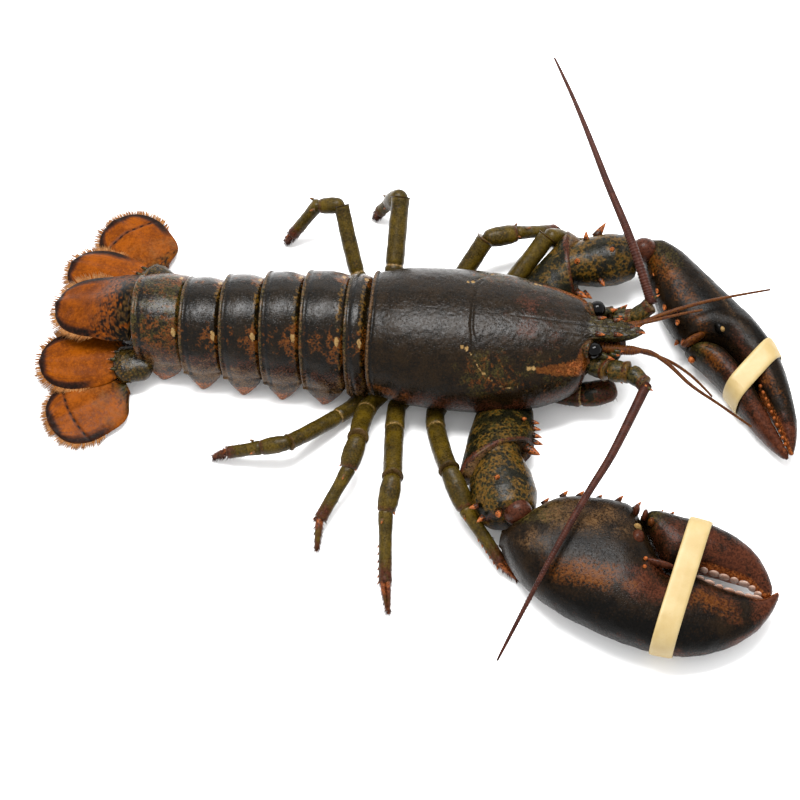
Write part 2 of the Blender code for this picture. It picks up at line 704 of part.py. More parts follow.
def head():
    red = ("feeler_red", FEELER_RED)
    for side, word in ((LEFT, "left"), (RIGHT, "right")):
        sweep(f"eye_{word}", mirrored(EYE, side), EYE_SIZES, ("eye_black", EYE_BLACK), 10, 7)
        names = [f"antenna_base_{word}", f"antenna_{word}"]
        routes = [ANTENNA_BASE[side], ANTENNA[side]]
        limb(names, routes, [ANTENNA_BASE_SIZES, ANTENNA_SIZES], red, 8, (9, 13))
        long, short = ANTENNULE[side]
        antennule = sweep(f"antennule_{word}", long, ANTENNULE_SIZES, red, 6, 12)
        combine(antennule, sweep("branch", short, BRANCH_SIZES, red, 6, 7), "UNION")
        olive = ("shell_olive", SHELL_OLIVE)
        sweep(f"maxilliped_{word}", mirrored(MAXILLIPED, side), MAXILLIPED_SIZES, olive, 8, 8)


def main():
    for thing in list(bpy.data.objects):
        bpy.data.objects.remove(thing)
    carapace()
    sternum()
    for number, row in enumerate(ABDOMEN, 1):
        abdomen_ring(number, *row)
    tail_fan()
    legs()
    arms()
    claws()
    bands()
    head()


main()
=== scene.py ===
"""The looks of the raw American lobster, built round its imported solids.

Lengths are millimetres in the animal's own frame: X = 0 at the rear rim of the carapace, +X
towards the head, +Y to the animal's left and Z = 0 on the ground. HOME moves them to the frame
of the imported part, in metres.
"""

import math

import bpy
import numpy as np
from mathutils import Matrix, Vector


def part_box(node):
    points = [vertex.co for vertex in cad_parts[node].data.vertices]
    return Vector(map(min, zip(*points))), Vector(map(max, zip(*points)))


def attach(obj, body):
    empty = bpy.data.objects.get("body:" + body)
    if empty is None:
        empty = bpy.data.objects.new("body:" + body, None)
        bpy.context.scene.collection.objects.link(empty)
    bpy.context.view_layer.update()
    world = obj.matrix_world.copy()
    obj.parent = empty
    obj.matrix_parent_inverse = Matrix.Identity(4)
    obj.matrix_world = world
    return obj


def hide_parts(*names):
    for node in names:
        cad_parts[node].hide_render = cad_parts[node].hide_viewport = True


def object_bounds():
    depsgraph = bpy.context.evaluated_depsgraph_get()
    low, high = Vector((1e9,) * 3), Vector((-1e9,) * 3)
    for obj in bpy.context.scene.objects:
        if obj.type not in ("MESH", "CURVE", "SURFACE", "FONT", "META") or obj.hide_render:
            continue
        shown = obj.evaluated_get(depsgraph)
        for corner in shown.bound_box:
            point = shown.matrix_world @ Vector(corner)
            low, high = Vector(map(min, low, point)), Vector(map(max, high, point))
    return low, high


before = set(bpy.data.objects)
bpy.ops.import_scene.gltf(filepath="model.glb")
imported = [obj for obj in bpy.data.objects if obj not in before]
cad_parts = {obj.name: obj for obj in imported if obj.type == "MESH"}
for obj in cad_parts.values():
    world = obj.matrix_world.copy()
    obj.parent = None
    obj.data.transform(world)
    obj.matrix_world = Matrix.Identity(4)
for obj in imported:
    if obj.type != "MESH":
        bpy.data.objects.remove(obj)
CAD_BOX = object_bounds()

MM = 0.001
LEFT, RIGHT = 1, -1
WORD = {LEFT: "left", RIGHT: "right"}
LOW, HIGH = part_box("carapace")
HOME = np.array([LOW.x, (LOW.y + HIGH.y) / 2, 0.0])
SEED = 7
UP = np.array([0.0, 0.0, 1.0])
# Spines and bristles take their sideways direction from this slanting line.
SLANTING = (-0.31, -0.17, -0.93)


# ---------------------------------------------------------------- numbers

def detail(quick, full):
    return full


def floats(values):
    return np.asarray(values, float)


def over(values, shape):
    """One number, or a grid of them, spread over this shape."""
    return np.broadcast_to(floats(values), shape)


def unit(v):
    return v / np.maximum(np.linalg.norm(v, axis=-1, keepdims=True), 1e-9)


def turns(count):
    """Even angles once round."""
    return np.linspace(0, 2 * math.pi, count, endpoint=False)


def axes_across(forward, toward=UP):
    """The side direction across forward, and the one across both."""
    side = unit(np.cross(toward, forward))
    return side, np.cross(forward, side)


def circle(turn, side, up):
    """Steps of length 1 from a middle, one for each angle."""
    return np.cos(turn)[:, None] * side + np.sin(turn)[:, None] * up


def rounded(turn, power):
    """Across and lift of a circle whose sides are flattened, the more the lower the power is under 1."""
    across, lift = np.cos(turn), np.sin(turn)
    return np.sign(across) * np.abs(across) ** power, np.sign(lift) * np.abs(lift) ** power


def read_line(at, marks, line):
    """Points of a line at these places, where marks are the places of its own points."""
    return np.stack([np.interp(at, marks, line[:, k]) for k in range(3)], -1)


def ease(value, low, high):
    """0 below low, 1 above high and a smooth step between them."""
    t = np.clip((floats(value) - low) / (high - low), 0.0, 1.0)
    return t * t * (3 - 2 * t)


def bump(value, middle, width):
    """1 at the middle, falling smoothly to nothing on both sides."""
    return np.exp(-(((floats(value) - middle) / width) ** 2))


def smooth(rows, at):
    """Rows of numbers whose first column rises, read at any places on one smooth curve."""
    rows = np.array(rows, float)
    x, v = rows[:, 0], rows[:, 1:]
    slope = np.zeros_like(v)
    slope[1:-1] = (v[2:] - v[:-2]) / (x[2:] - x[:-2])[:, None]
    slope[1:-1] *= (v[1:-1] - v[:-2]) * (v[2:] - v[1:-1]) > 0
    at = np.clip(floats(at), x[0], x[-1])
    i = np.clip(np.searchsorted(x, at, side="right") - 1, 0, len(x) - 2)
    span = (x[i + 1] - x[i])[..., None]
    t = (at - x[i])[..., None] / span
    return (
        (2 * t**3 - 3 * t**2 + 1) * v[i]
        + (t**3 - 2 * t**2 + t) * slope[i] * span
        + (3 * t**2 - 2 * t**3) * v[i + 1]
        + (t**3 - t**2) * slope[i + 1] * span
    )


def lattice(cell, seed):
    """A number from -1 to 1 for each whole-numbered cell, the same on every run."""
    n = cell[..., 0] * 374761393 + cell[..., 1] * 668265263 + cell[..., 2] * 1274126177 + seed * 97531
    n = (n ^ (n >> 13)) & 0x7FFFFFFF
    n = (n * 1103515245 + 12345) & 0x7FFFFFFF
    n = (n ^ (n >> 11)) & 0x7FFFFFFF
    n = (n * 69069 + 1) & 0x7FFFFFFF
    return (n >> 7 & 0xFFFF) / 32767.5 - 1.0


def noise(points, size, seed):
    """Smooth noise from -1 to 1 with features of this size."""
    p = points / size
    cell = np.floor(p)
    t = p - cell
    t = t * t * (3 - 2 * t)
    cell = cell.astype(np.int64)
    total = 0.0
    for i in range(8):
        corner = np.array([i & 1, i >> 1 & 1, i >> 2 & 1])
        weight = np.prod(np.where(corner == 1, t, 1 - t), axis=-1)
        total = total + weight * lattice(cell + corner, SEED + seed)
    return total


def rough(points, size, seed):
    """Noise with finer noise on it."""
    return sum(noise(points, size / 2**k, seed + 17 * k) / 2**k for k in range(3)) / 1.5


def near_line(points, line):
    """Distance from points to a line through points, and how far along it, from 0 to 1."""
    line = floats(line)
    best = np.full(points.shape[:-1], 1e9)
    part = np.zeros(points.shape[:-1])
    for k, (a, b) in enumerate(zip(line, line[1:])):
        t = np.clip((points - a) @ (b - a) / max((b - a) @ (b - a), 1e-9), 0, 1)
        far = np.linalg.norm(points - a - t[..., None] * (b - a), axis=-1)
        closer = far < best
        best = np.where(closer, far, best)
        part = np.where(closer, (k + t) / (len(line) - 1), part)
    return best, part


def spread(count, seed, low=0.0, high=1.0):
    """Evenly mixed numbers, the same on every run."""
    cells = np.stack([np.arange(count), np.full(count, seed), np.zeros(count, int)], -1)
    return low + (high - low) * (lattice(cells, 0) + 1) / 2


# ---------------------------------------------------------------- pieces

PAINTS = ("olive", "rust", "tan", "gold", "amber", "soot", "coral", "cream")


def new_object(name, data):
    made = bpy.data.objects.new(name, data)
    bpy.context.scene.collection.objects.link(made)
    return made


def grid_normals(rings):
    """Outward directions of a skin whose rings run anticlockwise about its forward direction."""
    forward = np.gradient(rings, axis=0)
    around = np.roll(rings, -1, axis=1) - np.roll(rings, 1, axis=1)
    return unit(np.cross(around, forward))


def net(count, sides):
    """Corners of the quads from each ring to the next; the last row leads back to the first ring."""
    grid = np.arange(count * sides).reshape(count, sides)
    turned = np.roll(grid, -1, axis=1)
    return np.stack([grid, turned, np.roll(turned, -1, axis=0), np.roll(grid, -1, axis=0)], -1)


# A spine's rings: how far along it they lie, and how wide they are.
THORN_PARTS = np.array([-0.25, 0.0, 0.2, 0.42, 0.64, 0.82, 0.94])
THORN_WIDTHS = np.array([1.15, 1.0, 0.9, 0.72, 0.5, 0.3, 0.14])
THORN_SIDES = 12
# A bristle's seven points: three at its root, three halfway and its tip.
BRISTLE_QUADS = np.array([[0, 1, 4, 3], [1, 2, 5, 4], [2, 0, 3, 5]])
BRISTLE_TRIANGLES = np.array([[3, 4, 6], [4, 5, 6], [5, 3, 6], [0, 2, 1]])
BRISTLE_POINTS = 7
BRISTLE_TAPER = 0.62


class Piece:
    """Points and faces of one piece, with the weight of each paint at each point."""

    def __init__(self):
        self.points, self.faces, self.count = [], [], 0
        self.paint = {name: [] for name in PAINTS}

    def add(self, points, faces, paint):
        points = floats(points).reshape(-1, 3)
        self.points.append(points)
        self.faces += [block + self.count for block in faces]
        for name in PAINTS:
            self.paint[name].append(over(paint.get(name, 0.0), (len(points),)))
        self.count += len(points)

    def tube(self, rings, tail=None, tip=None, **paint):
        """A closed skin through rings of equal count; tail and tip are the points that end it."""
        rings = floats(rings)
        count, sides = rings.shape[:2]
        corners = net(count, sides)
        low, high = count * sides, count * sides + 1
        start = np.stack([corners[0, :, 1], corners[0, :, 0], np.full(sides, low)], -1)
        end = np.stack([corners[-1, :, 0], corners[-1, :, 1], np.full(sides, high)], -1)
        tail = rings[0].mean(0) if tail is None else floats(tail)
        tip = rings[-1].mean(0) if tip is None else floats(tip)
        points = np.concatenate([rings.reshape(-1, 3), [tail, tip]])
        weights = {}
        for name, weight in paint.items():
            weight = over(weight, (count, sides))
            ends = [weight[0].mean(), weight[-1].mean()]
            weights[name] = np.concatenate([weight.reshape(-1), ends])
        self.add(points, [corners[:-1].reshape(-1, 4), np.concatenate([start, end])], weights)

    def hoop(self, rings):
        """A closed ring-shaped skin whose section passes through rings in turn."""
        rings = floats(rings)
        self.add(rings, [net(*rings.shape[:2]).reshape(-1, 4)], {})

    def thorn(self, root, direction, length, radius, **paint):
        """A pointed spine; each paint has its weight at the root and at the point."""
        root, direction = floats(root), unit(floats(direction))
        line = direction * length
        around = circle(turns(THORN_SIDES), *axes_across(direction, SLANTING)) * radius
        rings = [root + line * part + around * width for part, width in zip(THORN_PARTS, THORN_WIDTHS)]
        paint = {name: np.interp(THORN_PARTS, [0, 1], pair)[:, None] for name, pair in paint.items()}
        self.tube(rings, root + line * THORN_PARTS[0], root + line, **paint)

    def knob(self, middle, radii, axes=np.eye(3), sides=32, **paint):
        """An egg-shaped lump with its three radii along the axes."""
        lean = np.linspace(0, math.pi, sides // 2 + 2)[1:-1, None]
        turn = turns(sides)[None]
        ball = [-np.cos(lean) + 0 * turn, np.sin(lean) * np.cos(turn), np.sin(lean) * np.sin(turn)]
        middle, radii, axes = floats(middle), floats(radii), floats(axes)
        ends = [middle + axes[0] * radii[0] * way for way in (-1, 1)]
        self.tube(middle + (np.stack(ball, -1) * radii) @ axes, *ends, **paint)

    def hairs(self, roots, directions, lengths, radius, **paint):
        """Many fine pointed bristles."""
        roots, directions = floats(roots)[:, None], unit(floats(directions))
        side, up = axes_across(directions, SLANTING)
        around = circle(turns(3), side[:, None], up[:, None]) * radius
        line = directions[:, None] * over(lengths, (len(roots),))[:, None, None]
        points = [roots + around, roots + line * 0.5 + around * BRISTLE_TAPER, roots + line]
        base = np.arange(len(roots))[:, None, None] * BRISTLE_POINTS
        faces = [(base + BRISTLE_QUADS).reshape(-1, 4), (base + BRISTLE_TRIANGLES).reshape(-1, 3)]
        self.add(np.concatenate(points, axis=1), faces, paint)

    def finish(self, name, look, slot, nodes):
        """Make the object with its look, and let it stand for its CAD nodes."""
        low, high = (np.array(corner) for corner in CAD_BOX)
        points = np.clip(np.concatenate(self.points) * MM + HOME, low, high)
        mesh = bpy.data.meshes.new(name)
        mesh.vertices.add(len(points))
        mesh.vertices.foreach_set("co", points.astype(np.float32).reshape(-1))
        sizes = np.concatenate([np.full(len(block), block.shape[1]) for block in self.faces])
        loops = np.concatenate([block.reshape(-1) for block in self.faces])
        mesh.loops.add(len(loops))
        mesh.loops.foreach_set("vertex_index", loops.astype(np.int32))
        mesh.polygons.add(len(sizes))
        starts = np.concatenate([[0], np.cumsum(sizes)[:-1]])
        mesh.polygons.foreach_set("loop_start", starts.astype(np.int32))
        mesh.update(calc_edges=True)
        for paint in PAINTS:
            weight = np.clip(np.concatenate(self.paint[paint]), 0, 1)
            layer = mesh.attributes.new(paint, "FLOAT", "POINT")
            layer.data.foreach_set("value", weight.astype(np.float32))
        mesh.shade_smooth()
        mesh.materials.append(LOOKS[look])
        made = new_object(name, mesh)
        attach(made, "root")
        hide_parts(*nodes)


# ---------------------------------------------------------------- materials

# The studio's light falls on a flat surface this many times over.
LIGHT = 3.1


def tint(colour):
    """The surface colour that this light shows as a screen colour from 0 to 255."""
    parts = [value / 255 for value in colour]
    return (*[(p / 12.92 if p < 0.04 else ((p + 0.055) / 1.055) ** 2.4) / LIGHT for p in parts], 1.0)


# Each paint: its dark and bright colour, and the size in millimetres of the pattern it breaks into.
PAINT_COLOURS = {
    "olive": ((44, 40, 16), (84, 72, 28), 1.3),
    "rust": ((66, 32, 18), (104, 54, 32), 0.9),
    "tan": ((88, 60, 32), (126, 94, 60), 0.9),
    "gold": ((78, 56, 10), (128, 92, 34), 1.9),
    "amber": ((88, 44, 8), (128, 74, 22), 1.5),
    "soot": ((8, 7, 5), (16, 13, 10), 1.4),
    "coral": ((160, 74, 26), (216, 128, 66), 1.0),
    "cream": ((158, 120, 66), (196, 160, 104), 1.0),
}


class Nodes:
    """A short way of writing a material's nodes."""

    def __init__(self, name):
        self.material = bpy.data.materials.new(name)
        self.material.use_nodes = True
        self.tree = self.material.node_tree
        self.place = self.tree.nodes.new("ShaderNodeTexCoord").outputs["Object"]

    def link(self, source, socket):
        if isinstance(source, bpy.types.NodeSocket):
            self.tree.links.new(source, socket)
        else:
            socket.default_value = source

    def node(self, kind, output, sockets, **settings):
        """One output of a new node whose sockets have these numbers or links."""
        made = self.tree.nodes.new("ShaderNode" + kind)
        for name, value in settings.items():
            setattr(made, name, value)
        for name, source in sockets.items():
            self.link(source, made.inputs[name])
        return made.outputs[output]

    def noise(self, size, detail, roughness=0.55, distortion=0.0):
        """Noise with features of this size in millimetres, from 0 to 1."""
        sockets = {"Scale": 1.0 / (size * MM), "Detail": detail, "Roughness": roughness}
        return self.node("TexNoise", "Fac", sockets | {"Distortion": distortion, "Vector": self.place})

    def cells(self, size):
        """Distance to the middle of cells of this size."""
        return self.node("TexVoronoi", "Distance", {"Scale": 1.0 / (size * MM), "Vector": self.place})

    def paint(self, name):
        return self.node("Attribute", "Fac", {}, attribute_name=name)

    def step(self, value, low, high, bottom=0.0, top=1.0):
        """A smooth step of value from low to high."""
        sockets = {"Value": value, "From Min": low, "From Max": high, "To Min": bottom, "To Max": top}
        return self.node("MapRange", "Result", sockets, interpolation_type="SMOOTHSTEP")

    def sum(self, operation, *values):
        return self.node("Math", "Value", dict(enumerate(values)), operation=operation)

    def mix(self, part, a, b):
        return self.node("Mix", "Result", {"Factor": part, "A": a, "B": b}, data_type="RGBA")

    def relief(self, height, strength, distance):
        sockets = {"Strength": strength, "Distance": distance * MM, "Height": height}
        return self.node("Bump", "Normal", sockets)

    def shade(self, sockets):
        """Set or link the shader's own sockets and return the material."""
        for name, source in sockets.items():
            self.link(source, self.tree.nodes["Principled BSDF"].inputs[name])
        return self.material


def shell_look(name, dark, light, fleck, grain=1.0, gloss=0.31, pits=0.7, glints=0.085, web=1.0, crisp=1.0):
    """Fresh lobster shell: mottled tones, painted areas broken into a web, pits and a wet gloss."""
    n = Nodes(name)
    broad, fine = n.noise(6.0 * grain, 6.0, 0.62), n.noise(1.1 * grain, 5.0, 0.68, 0.5)
    mottle = n.sum("MULTIPLY_ADD", fine, 0.7, broad)
    colour = n.mix(n.step(mottle, 0.68, 1.02), tint(dark), tint(light))
    specks = n.step(n.noise(0.8 * grain, 3.0, 0.7), 0.54, 0.70)
    colour = n.mix(n.sum("MULTIPLY", specks, 0.55), colour, tint(fleck))
    soft = 0.18 + 0.3 * (1 - crisp)
    for paint, (low, high, size) in PAINT_COLOURS.items():
        weight = n.paint(paint)
        net_shape = n.step(n.cells(size * web), 0.1, 0.62, -0.5, 0.5)
        shake = n.sum("ADD", net_shape, n.sum("MULTIPLY_ADD", fine, 1.6, -0.8))
        shake = n.sum("MULTIPLY", shake, 0.62 * crisp)
        shake = n.sum("MULTIPLY", shake, n.step(weight, 0.0, 0.3))
        cover = n.step(n.sum("ADD", weight, shake), 0.52 - soft, 0.52 + soft)
        shade = n.mix(n.step(fine, 0.36, 0.66), tint(low), tint(high))
        colour = n.mix(cover, colour, shade)
    dimples = n.step(n.cells(0.95 * grain), 0.0, 0.42)
    grit = n.sum("MULTIPLY_ADD", n.noise(0.5, 3.0), 0.7, n.sum("MULTIPLY", dimples, pits))
    return n.shade({
        "Base Color": colour,
        "Roughness": n.step(fine, 0.3, 0.75, gloss - 0.1, gloss + 0.16),
        "Normal": n.relief(grit, 0.6, 0.16),
        "Specular IOR Level": glints,
    })


def eye_look():
    n = Nodes("eye_gloss")
    cells = n.step(n.cells(0.35), 0.1, 0.5)
    return n.shade({
        "Base Color": n.mix(cells, tint((16, 12, 10)), tint((6, 5, 5))),
        "Roughness": 0.07,
        "Specular IOR Level": 0.1,
        "Normal": n.relief(cells, 0.12, 0.05),
    })


def rubber_look():
    n = Nodes("band_rubber")
    cloud, fine = n.noise(9.0, 3.0), n.noise(0.5, 4.0, 0.7)
    colour = n.mix(n.step(cloud, 0.35, 0.7), tint((226, 194, 122)), tint((236, 208, 142)))
    return n.shade({
        "Base Color": n.mix(n.step(fine, 0.55, 0.8), colour, tint((218, 182, 110))),
        "Roughness": n.step(fine, 0.3, 0.7, 0.46, 0.6),
        "Normal": n.relief(fine, 0.25, 0.08),
        "Subsurface Weight": 0.08,
        "Subsurface Radius": (0.002, 0.0015, 0.0008),
    })


# Each shell: the dark and light of its mottling and its flecks, as screen colours.
SHELL_TONES = {
    "carapace_shell": ((19, 12, 3), (39, 26, 8), (68, 44, 12)),
    "tail_shell": ((14, 10, 4), (33, 23, 9), (60, 40, 14)),
    "fan_shell": ((124, 58, 0), (168, 84, 0), (188, 102, 8)),
    "claw_shell": ((18, 12, 6), (38, 26, 13), (66, 43, 20)),
    "arm_shell": ((14, 15, 8), (33, 31, 14), (62, 50, 20)),
    "leg_shell": ((66, 51, 9), (106, 84, 18), (146, 118, 54)),
    "feeler_shell": ((60, 28, 20), (92, 48, 34), (124, 74, 58)),
    "bristle_tan": ((176, 108, 50), (216, 152, 92), (232, 186, 130)),
    "tooth_ivory": ((222, 176, 152), (248, 216, 198), (255, 236, 224)),
    "belly_shell": ((96, 66, 40), (136, 98, 60), (158, 116, 76)),
}
# What else sets each apart: size of its grain, roughness, depth of its pits, and its paints' pattern.
SHELL_FINISH = {
    "carapace_shell": {"gloss": 0.27, "glints": 0.09, "web": 0.55, "crisp": 0.75},
    "tail_shell": {"gloss": 0.24, "glints": 0.115, "web": 0.8, "crisp": 0.8},
    "fan_shell": {"grain": 1.3, "gloss": 0.38, "pits": 0.3, "glints": 0.04, "crisp": 0.2},
    "claw_shell": {"grain": 1.1, "glints": 0.055, "web": 0.8, "crisp": 0.6},
    "arm_shell": {},
    "leg_shell": {"grain": 0.8, "web": 0.7, "crisp": 0.6},
    "feeler_shell": {"grain": 0.5, "gloss": 0.4, "pits": 0.2},
    "bristle_tan": {"grain": 0.8, "gloss": 0.5, "pits": 0.1},
    "tooth_ivory": {"grain": 0.5, "gloss": 0.34, "pits": 0.2},
    "belly_shell": {"gloss": 0.45, "pits": 0.2},
}
LOOKS = {name: shell_look(name, *tones, **SHELL_FINISH[name]) for name, tones in SHELL_TONES.items()}
LOOKS |= {"eye_gloss": eye_look(), "band_rubber": rubber_look()}


# ---------------------------------------------------------------- carapace

# Along X: half width, height of the widest level, height of the back, height of the lower rim.
CARAPACE = [
    (0, 29.5, 19.5, 43.2, 12), (16, 32.8, 19.2, 45.2, 11.5), (38, 34.2, 19, 45.8, 11.5),
    (58, 33.6, 19, 45.2, 12.5), (76, 30, 20, 44, 14.5), (88, 25.4, 21.6, 42.6, 17),
    (95, 20.8, 24.6, 41.9, 20), (98, 15.4, 28, 41.6, 25),
]
# Points inside the shell that its front and rear rims turn to.
FRONT_MIDDLE = np.array([94.0, 0.0, 31.0])
REAR_MIDDLE = np.array([2.5, 0.0, 26.0])
# Where the side edges end, and where the beak's columns begin.
FRONT = 98.0
BEAK_START = 97.0
UNDERCUT = 20.0
REAR_CURL = 4.5
REAR_BEADS = 66
# Thickness of the front rim beside the beak, and lower down.
SIDE_DEPTH = 1.4
LOW_DEPTH = 1.0
# The beak between the eyes: where its edge lies for each distance from the middle line.
BEAK_EDGE = [
    (0, 121.8), (0.8, 121), (1.8, 119.2), (3, 116.8), (4, 112.5), (4.8, 106.5), (5.3, 101.6),
    (6.3, 98.6), (8, 96.4), (10, 95.6), (12.4, 97.6), (14.4, 98.8), (15.4, 98.2),
]
BEAK_BACK = [(97, 41.6), (100, 41.7), (106, 41.3), (113, 40.5), (119, 40), (123, 39.6)]
BEAK_DEPTH = [(92, 1.4), (99, 3.6), (106, 3.6), (113, 3), (119, 1.8), (123, 0.5)]


def on_carapace(x, degrees):
    """A point of the carapace's outside; 90 degrees is the back and 180 the right side."""
    x, turn = np.broadcast_arrays(floats(x), np.radians(degrees))
    width, level, top, floor = np.moveaxis(smooth(CARAPACE, np.minimum(x, FRONT)), -1, 0)
    y, rise = np.cos(turn) * width, np.sin(turn)
    z = level + rise * np.where(rise > 0, top - level, UNDERCUT)
    z = np.where(z < floor, floor + np.minimum(0.22 * (floor - z), 3.0), z)
    beak = smooth(BEAK_BACK, x)[..., 0] - 0.04 * y**2
    z = z + ease(x, 96.0, 100.0) * np.where(rise > 0, beak - z, 0.0)
    drop = np.clip((top - z) / (top - floor), 0, 1.2)
    curl = REAR_CURL * drop**2 * np.clip(1.0 - x / 30.0, 0, 1)
    return np.stack([x + curl, y, z], -1)


# Lines on the carapace as X and degrees: the groove across the back, the pale line and the stripe.
CERVICAL = [
    (48.5, 56), (47, 62), (46.2, 72), (46, 81), (45.5, 94), (45.5, 102), (47, 109), (48.5, 117),
]
PALE_LINE = [
    (44.5, 120), (46, 123), (48, 128), (50.5, 135), (53, 140), (57, 146), (60.5, 151), (64, 153),
    (68, 152),
]
STRIPE = [(76.5, 137), (86, 140), (94.5, 146), (98, 151)]
# Spots as X, degrees and radius.
CREAM_SPOTS = [
    (42.5, 119.5, 1), (44.5, 120.5, 1.1), (53, 139.5, 0.8), (64, 153, 0.8), (68, 152, 0.7),
    (72.5, 135, 1.2), (74.5, 135, 1.1),
]
# The spines of the beak: root, direction, length and radius.
BEAK_SPINES = [
    ((101.2, -4, 41.2), (1, -0.15, 0.2), 3.4, 1.15), ((109.2, -3.2, 40.8), (1, -0.12, 0.2), 3.2, 1.1),
    ((101.6, 4.2, 41.2), (1, 0.15, 0.2), 3.2, 1.1), ((108.6, 4, 40.6), (1, 0.35, 0.2), 3.4, 1.15),
    ((116.2, 1.8, 39.6), (1, 0.25, 0.02), 4.2, 0.95), ((118.8, -0.4, 39.7), (1, -0.06, -0.02), 3.8, 1),
]


def both_sides(points, line):
    """For a line on the carapace and its mirror line: distances from points, and how far along."""
    for row in (line, [(x, 180 - degrees) for x, degrees in line]):
        yield near_line(points, on_carapace(*np.array(row, float).T))


def framed(paints, skin, before, after=0):
    """Each paint's weights over the skin, with its own two weights on the rings before and after."""
    def grid(weight, first, last):
        ends = [over(value, (rows, skin.shape[1])) for value, rows in ((first, before), (last, after))]
        return np.concatenate([ends[0], over(weight, skin.shape[:2]), ends[1]])

    return {name: grid(*row) for name, row in paints.items()}


def carapace_relief(rings, x, turn):
    """How far each point stands off the smooth shell, and the weight of the pale line there."""
    upper = ease(np.sin(turn), -0.25, 0.05)[None]
    beads = np.cos(np.linspace(0, 2 * math.pi, len(turn)) * REAR_BEADS)[None] * 0.12
    lift = 0.34 * bump(x, 0.8, 0.6) - 0.36 * bump(x, 2.1, 0.7) + beads * bump(x, 0.8, 0.6)
    for far, along in both_sides(rings, CERVICAL):
        lift = lift - 0.42 * bump(far, 0, 0.75) * (1 - 0.4 * along)
    pale = 0.0
    for far, _ in both_sides(rings, PALE_LINE):
        lift = lift - 0.25 * bump(far, 0, 0.9)
        pale = np.maximum(pale, 0.5 * bump(far, 0.0, 0.34) * (noise(rings, 1.6, 3) > -0.1))
    middle = bump(rings[..., 1], 0, 0.45) * (np.sin(turn) > 0)[None]
    lift = lift - middle * (0.05 + 0.14 * ease(x, 60, 75) * (1 - ease(x, 112, 120)))
    ridge = bump(np.abs(rings[..., 1]), 4.6 - 0.12 * np.maximum(x - 96, 0), 1.0) * upper
    lift = lift + ridge * 0.22 * ease(x, 70, 96)
    lift = lift + upper * (0.10 * rough(rings, 3.2, 1) + 0.07 * noise(rings, 0.9, 2))
    knobs = ease(x, 88, 100) * upper * bump(rings[..., 1], 0, 13)
    lift = lift + knobs * (0.26 * noise(rings, 1.7, 6) + 0.2 * noise(rings, 0.8, 7))
    return lift * ease(x, -0.1, 0.35), pale


def carapace_rims(rear, front, reach, off_line, on_back):
    """The rings that turn the rear and front rims in, each set ending at a hidden face."""
    depth = np.where(off_line < 10, smooth(BEAK_DEPTH, reach)[..., 0], SIDE_DEPTH)
    depth = np.where(on_back, depth, LOW_DEPTH)
    inward = FRONT_MIDDLE - front
    inward[:, 0] = 0
    under = np.where((off_line < 7) & on_back, 1.0, 0.0)[:, None]
    inward = unit(unit(inward) * (1 - under) - under * UP) * depth[:, None]
    lip = [
        front + inward * step + np.array([0.25 * math.sin(math.pi * step), 0, 0])
        for step in (0.35, 0.7, 1.0)
    ]
    back = front + inward * 1.25
    back[:, 0] = np.minimum(front[:, 0], 99.0) - 3.0
    ahead = [*lip, back, back * 0.6 + FRONT_MIDDLE * 0.4]
    inner = unit(REAR_MIDDLE - rear)
    behind = [
        rear + inner * step + np.array([forward, 0, 0])
        for step, forward in ((2.4, 3.2), (1.5, 1.2), (0.7, 0.0))
    ]
    rear_face = REAR_MIDDLE + np.array([3.0, 0, 0])
    behind = [rear_face * 0.5 + behind[0] * 0.5, *behind]
    return rear_face, behind, ahead


def carapace_paints(skin, xs, down, part, orbit, pale):
    """The paints over the skin; down is the angle from the middle of the back."""
    mottle, fleck = rough(skin, 4.0, 5), rough(skin, 1.6, 9)
    cheek = bump(xs, 55, 15) * bump(down, 52, 24) + 0.7 * bump(xs, 84, 14) * bump(down, 54, 30)
    beak = ease(xs, 93, 101)
    olive = np.clip(0.36 * cheek * (1 + 1.4 * mottle) + 0.42 * beak * (1 + fleck), 0, 0.6)
    amber = np.clip(0.30 * cheek * (0.8 + 1.8 * fleck) + 0.2 * beak * (0.6 + fleck), 0, 0.6)
    rust = 0.32 * bump(xs, 74, 20) * bump(down, 12, 28) + 0.5 * bump(down, 86, 13) * ease(xs, 0, 10)
    rust = rust * (0.8 + 0.7 * mottle)
    glow = bump(down, 84, 9) * bump(xs, 8, 16)
    amber = np.maximum(amber, 0.5 * glow * (0.9 + 0.8 * mottle))
    soot = 0.5 * bump(xs, 2.3, 0.9) + 0.4 * bump(skin[..., 1], 0, 0.4) * ease(xs, 62, 75)
    coral = 0.0
    for far, along in both_sides(skin, STRIPE):
        width = 1.3 + 4.6 * along
        band = 1 - ease(far + 0.8 * fleck, width * 0.6, width * 1.2)
        amber = np.maximum(amber, band * (1.0 + 0.4 * fleck))
        coral = np.maximum(coral, 0.34 * band * bump(along, 0.6, 0.45) * (0.9 + 0.8 * fleck))
        soot = np.maximum(soot, 0.55 * bump(far, width * 1.5, 1.6) * (0.3 + fleck))
    for spot_x, spot_deg, radius in CREAM_SPOTS:
        for mirror in (spot_deg, 180 - spot_deg):
            far = np.linalg.norm(skin - on_carapace(spot_x, mirror), axis=-1)
            pale = np.maximum(pale, 0.8 * (1 - ease(far + 0.35 * fleck, radius * 0.5, radius * 1.1)))
    tan = 0.62 * bump(xs, 0.8, 0.8) * (0.8 + 0.5 * fleck)
    tan = np.maximum(tan, 0.4 * ease(part, 0.972, 0.99)[:, None] * orbit)
    rust = np.maximum(rust, 0.6 * ease(part, 0.965, 0.985)[:, None] * orbit)
    # Each with its weight on the hidden rings behind and ahead of the skin.
    return {
        "amber": (amber, 0, 0), "rust": (rust, 0.4, 0), "cream": (pale, 0, 0), "olive": (olive, 0, 0.5),
        "soot": (soot, 0.4, 0.3), "tan": (tan, 0.3, 0), "coral": (coral, 0, 0),
    }


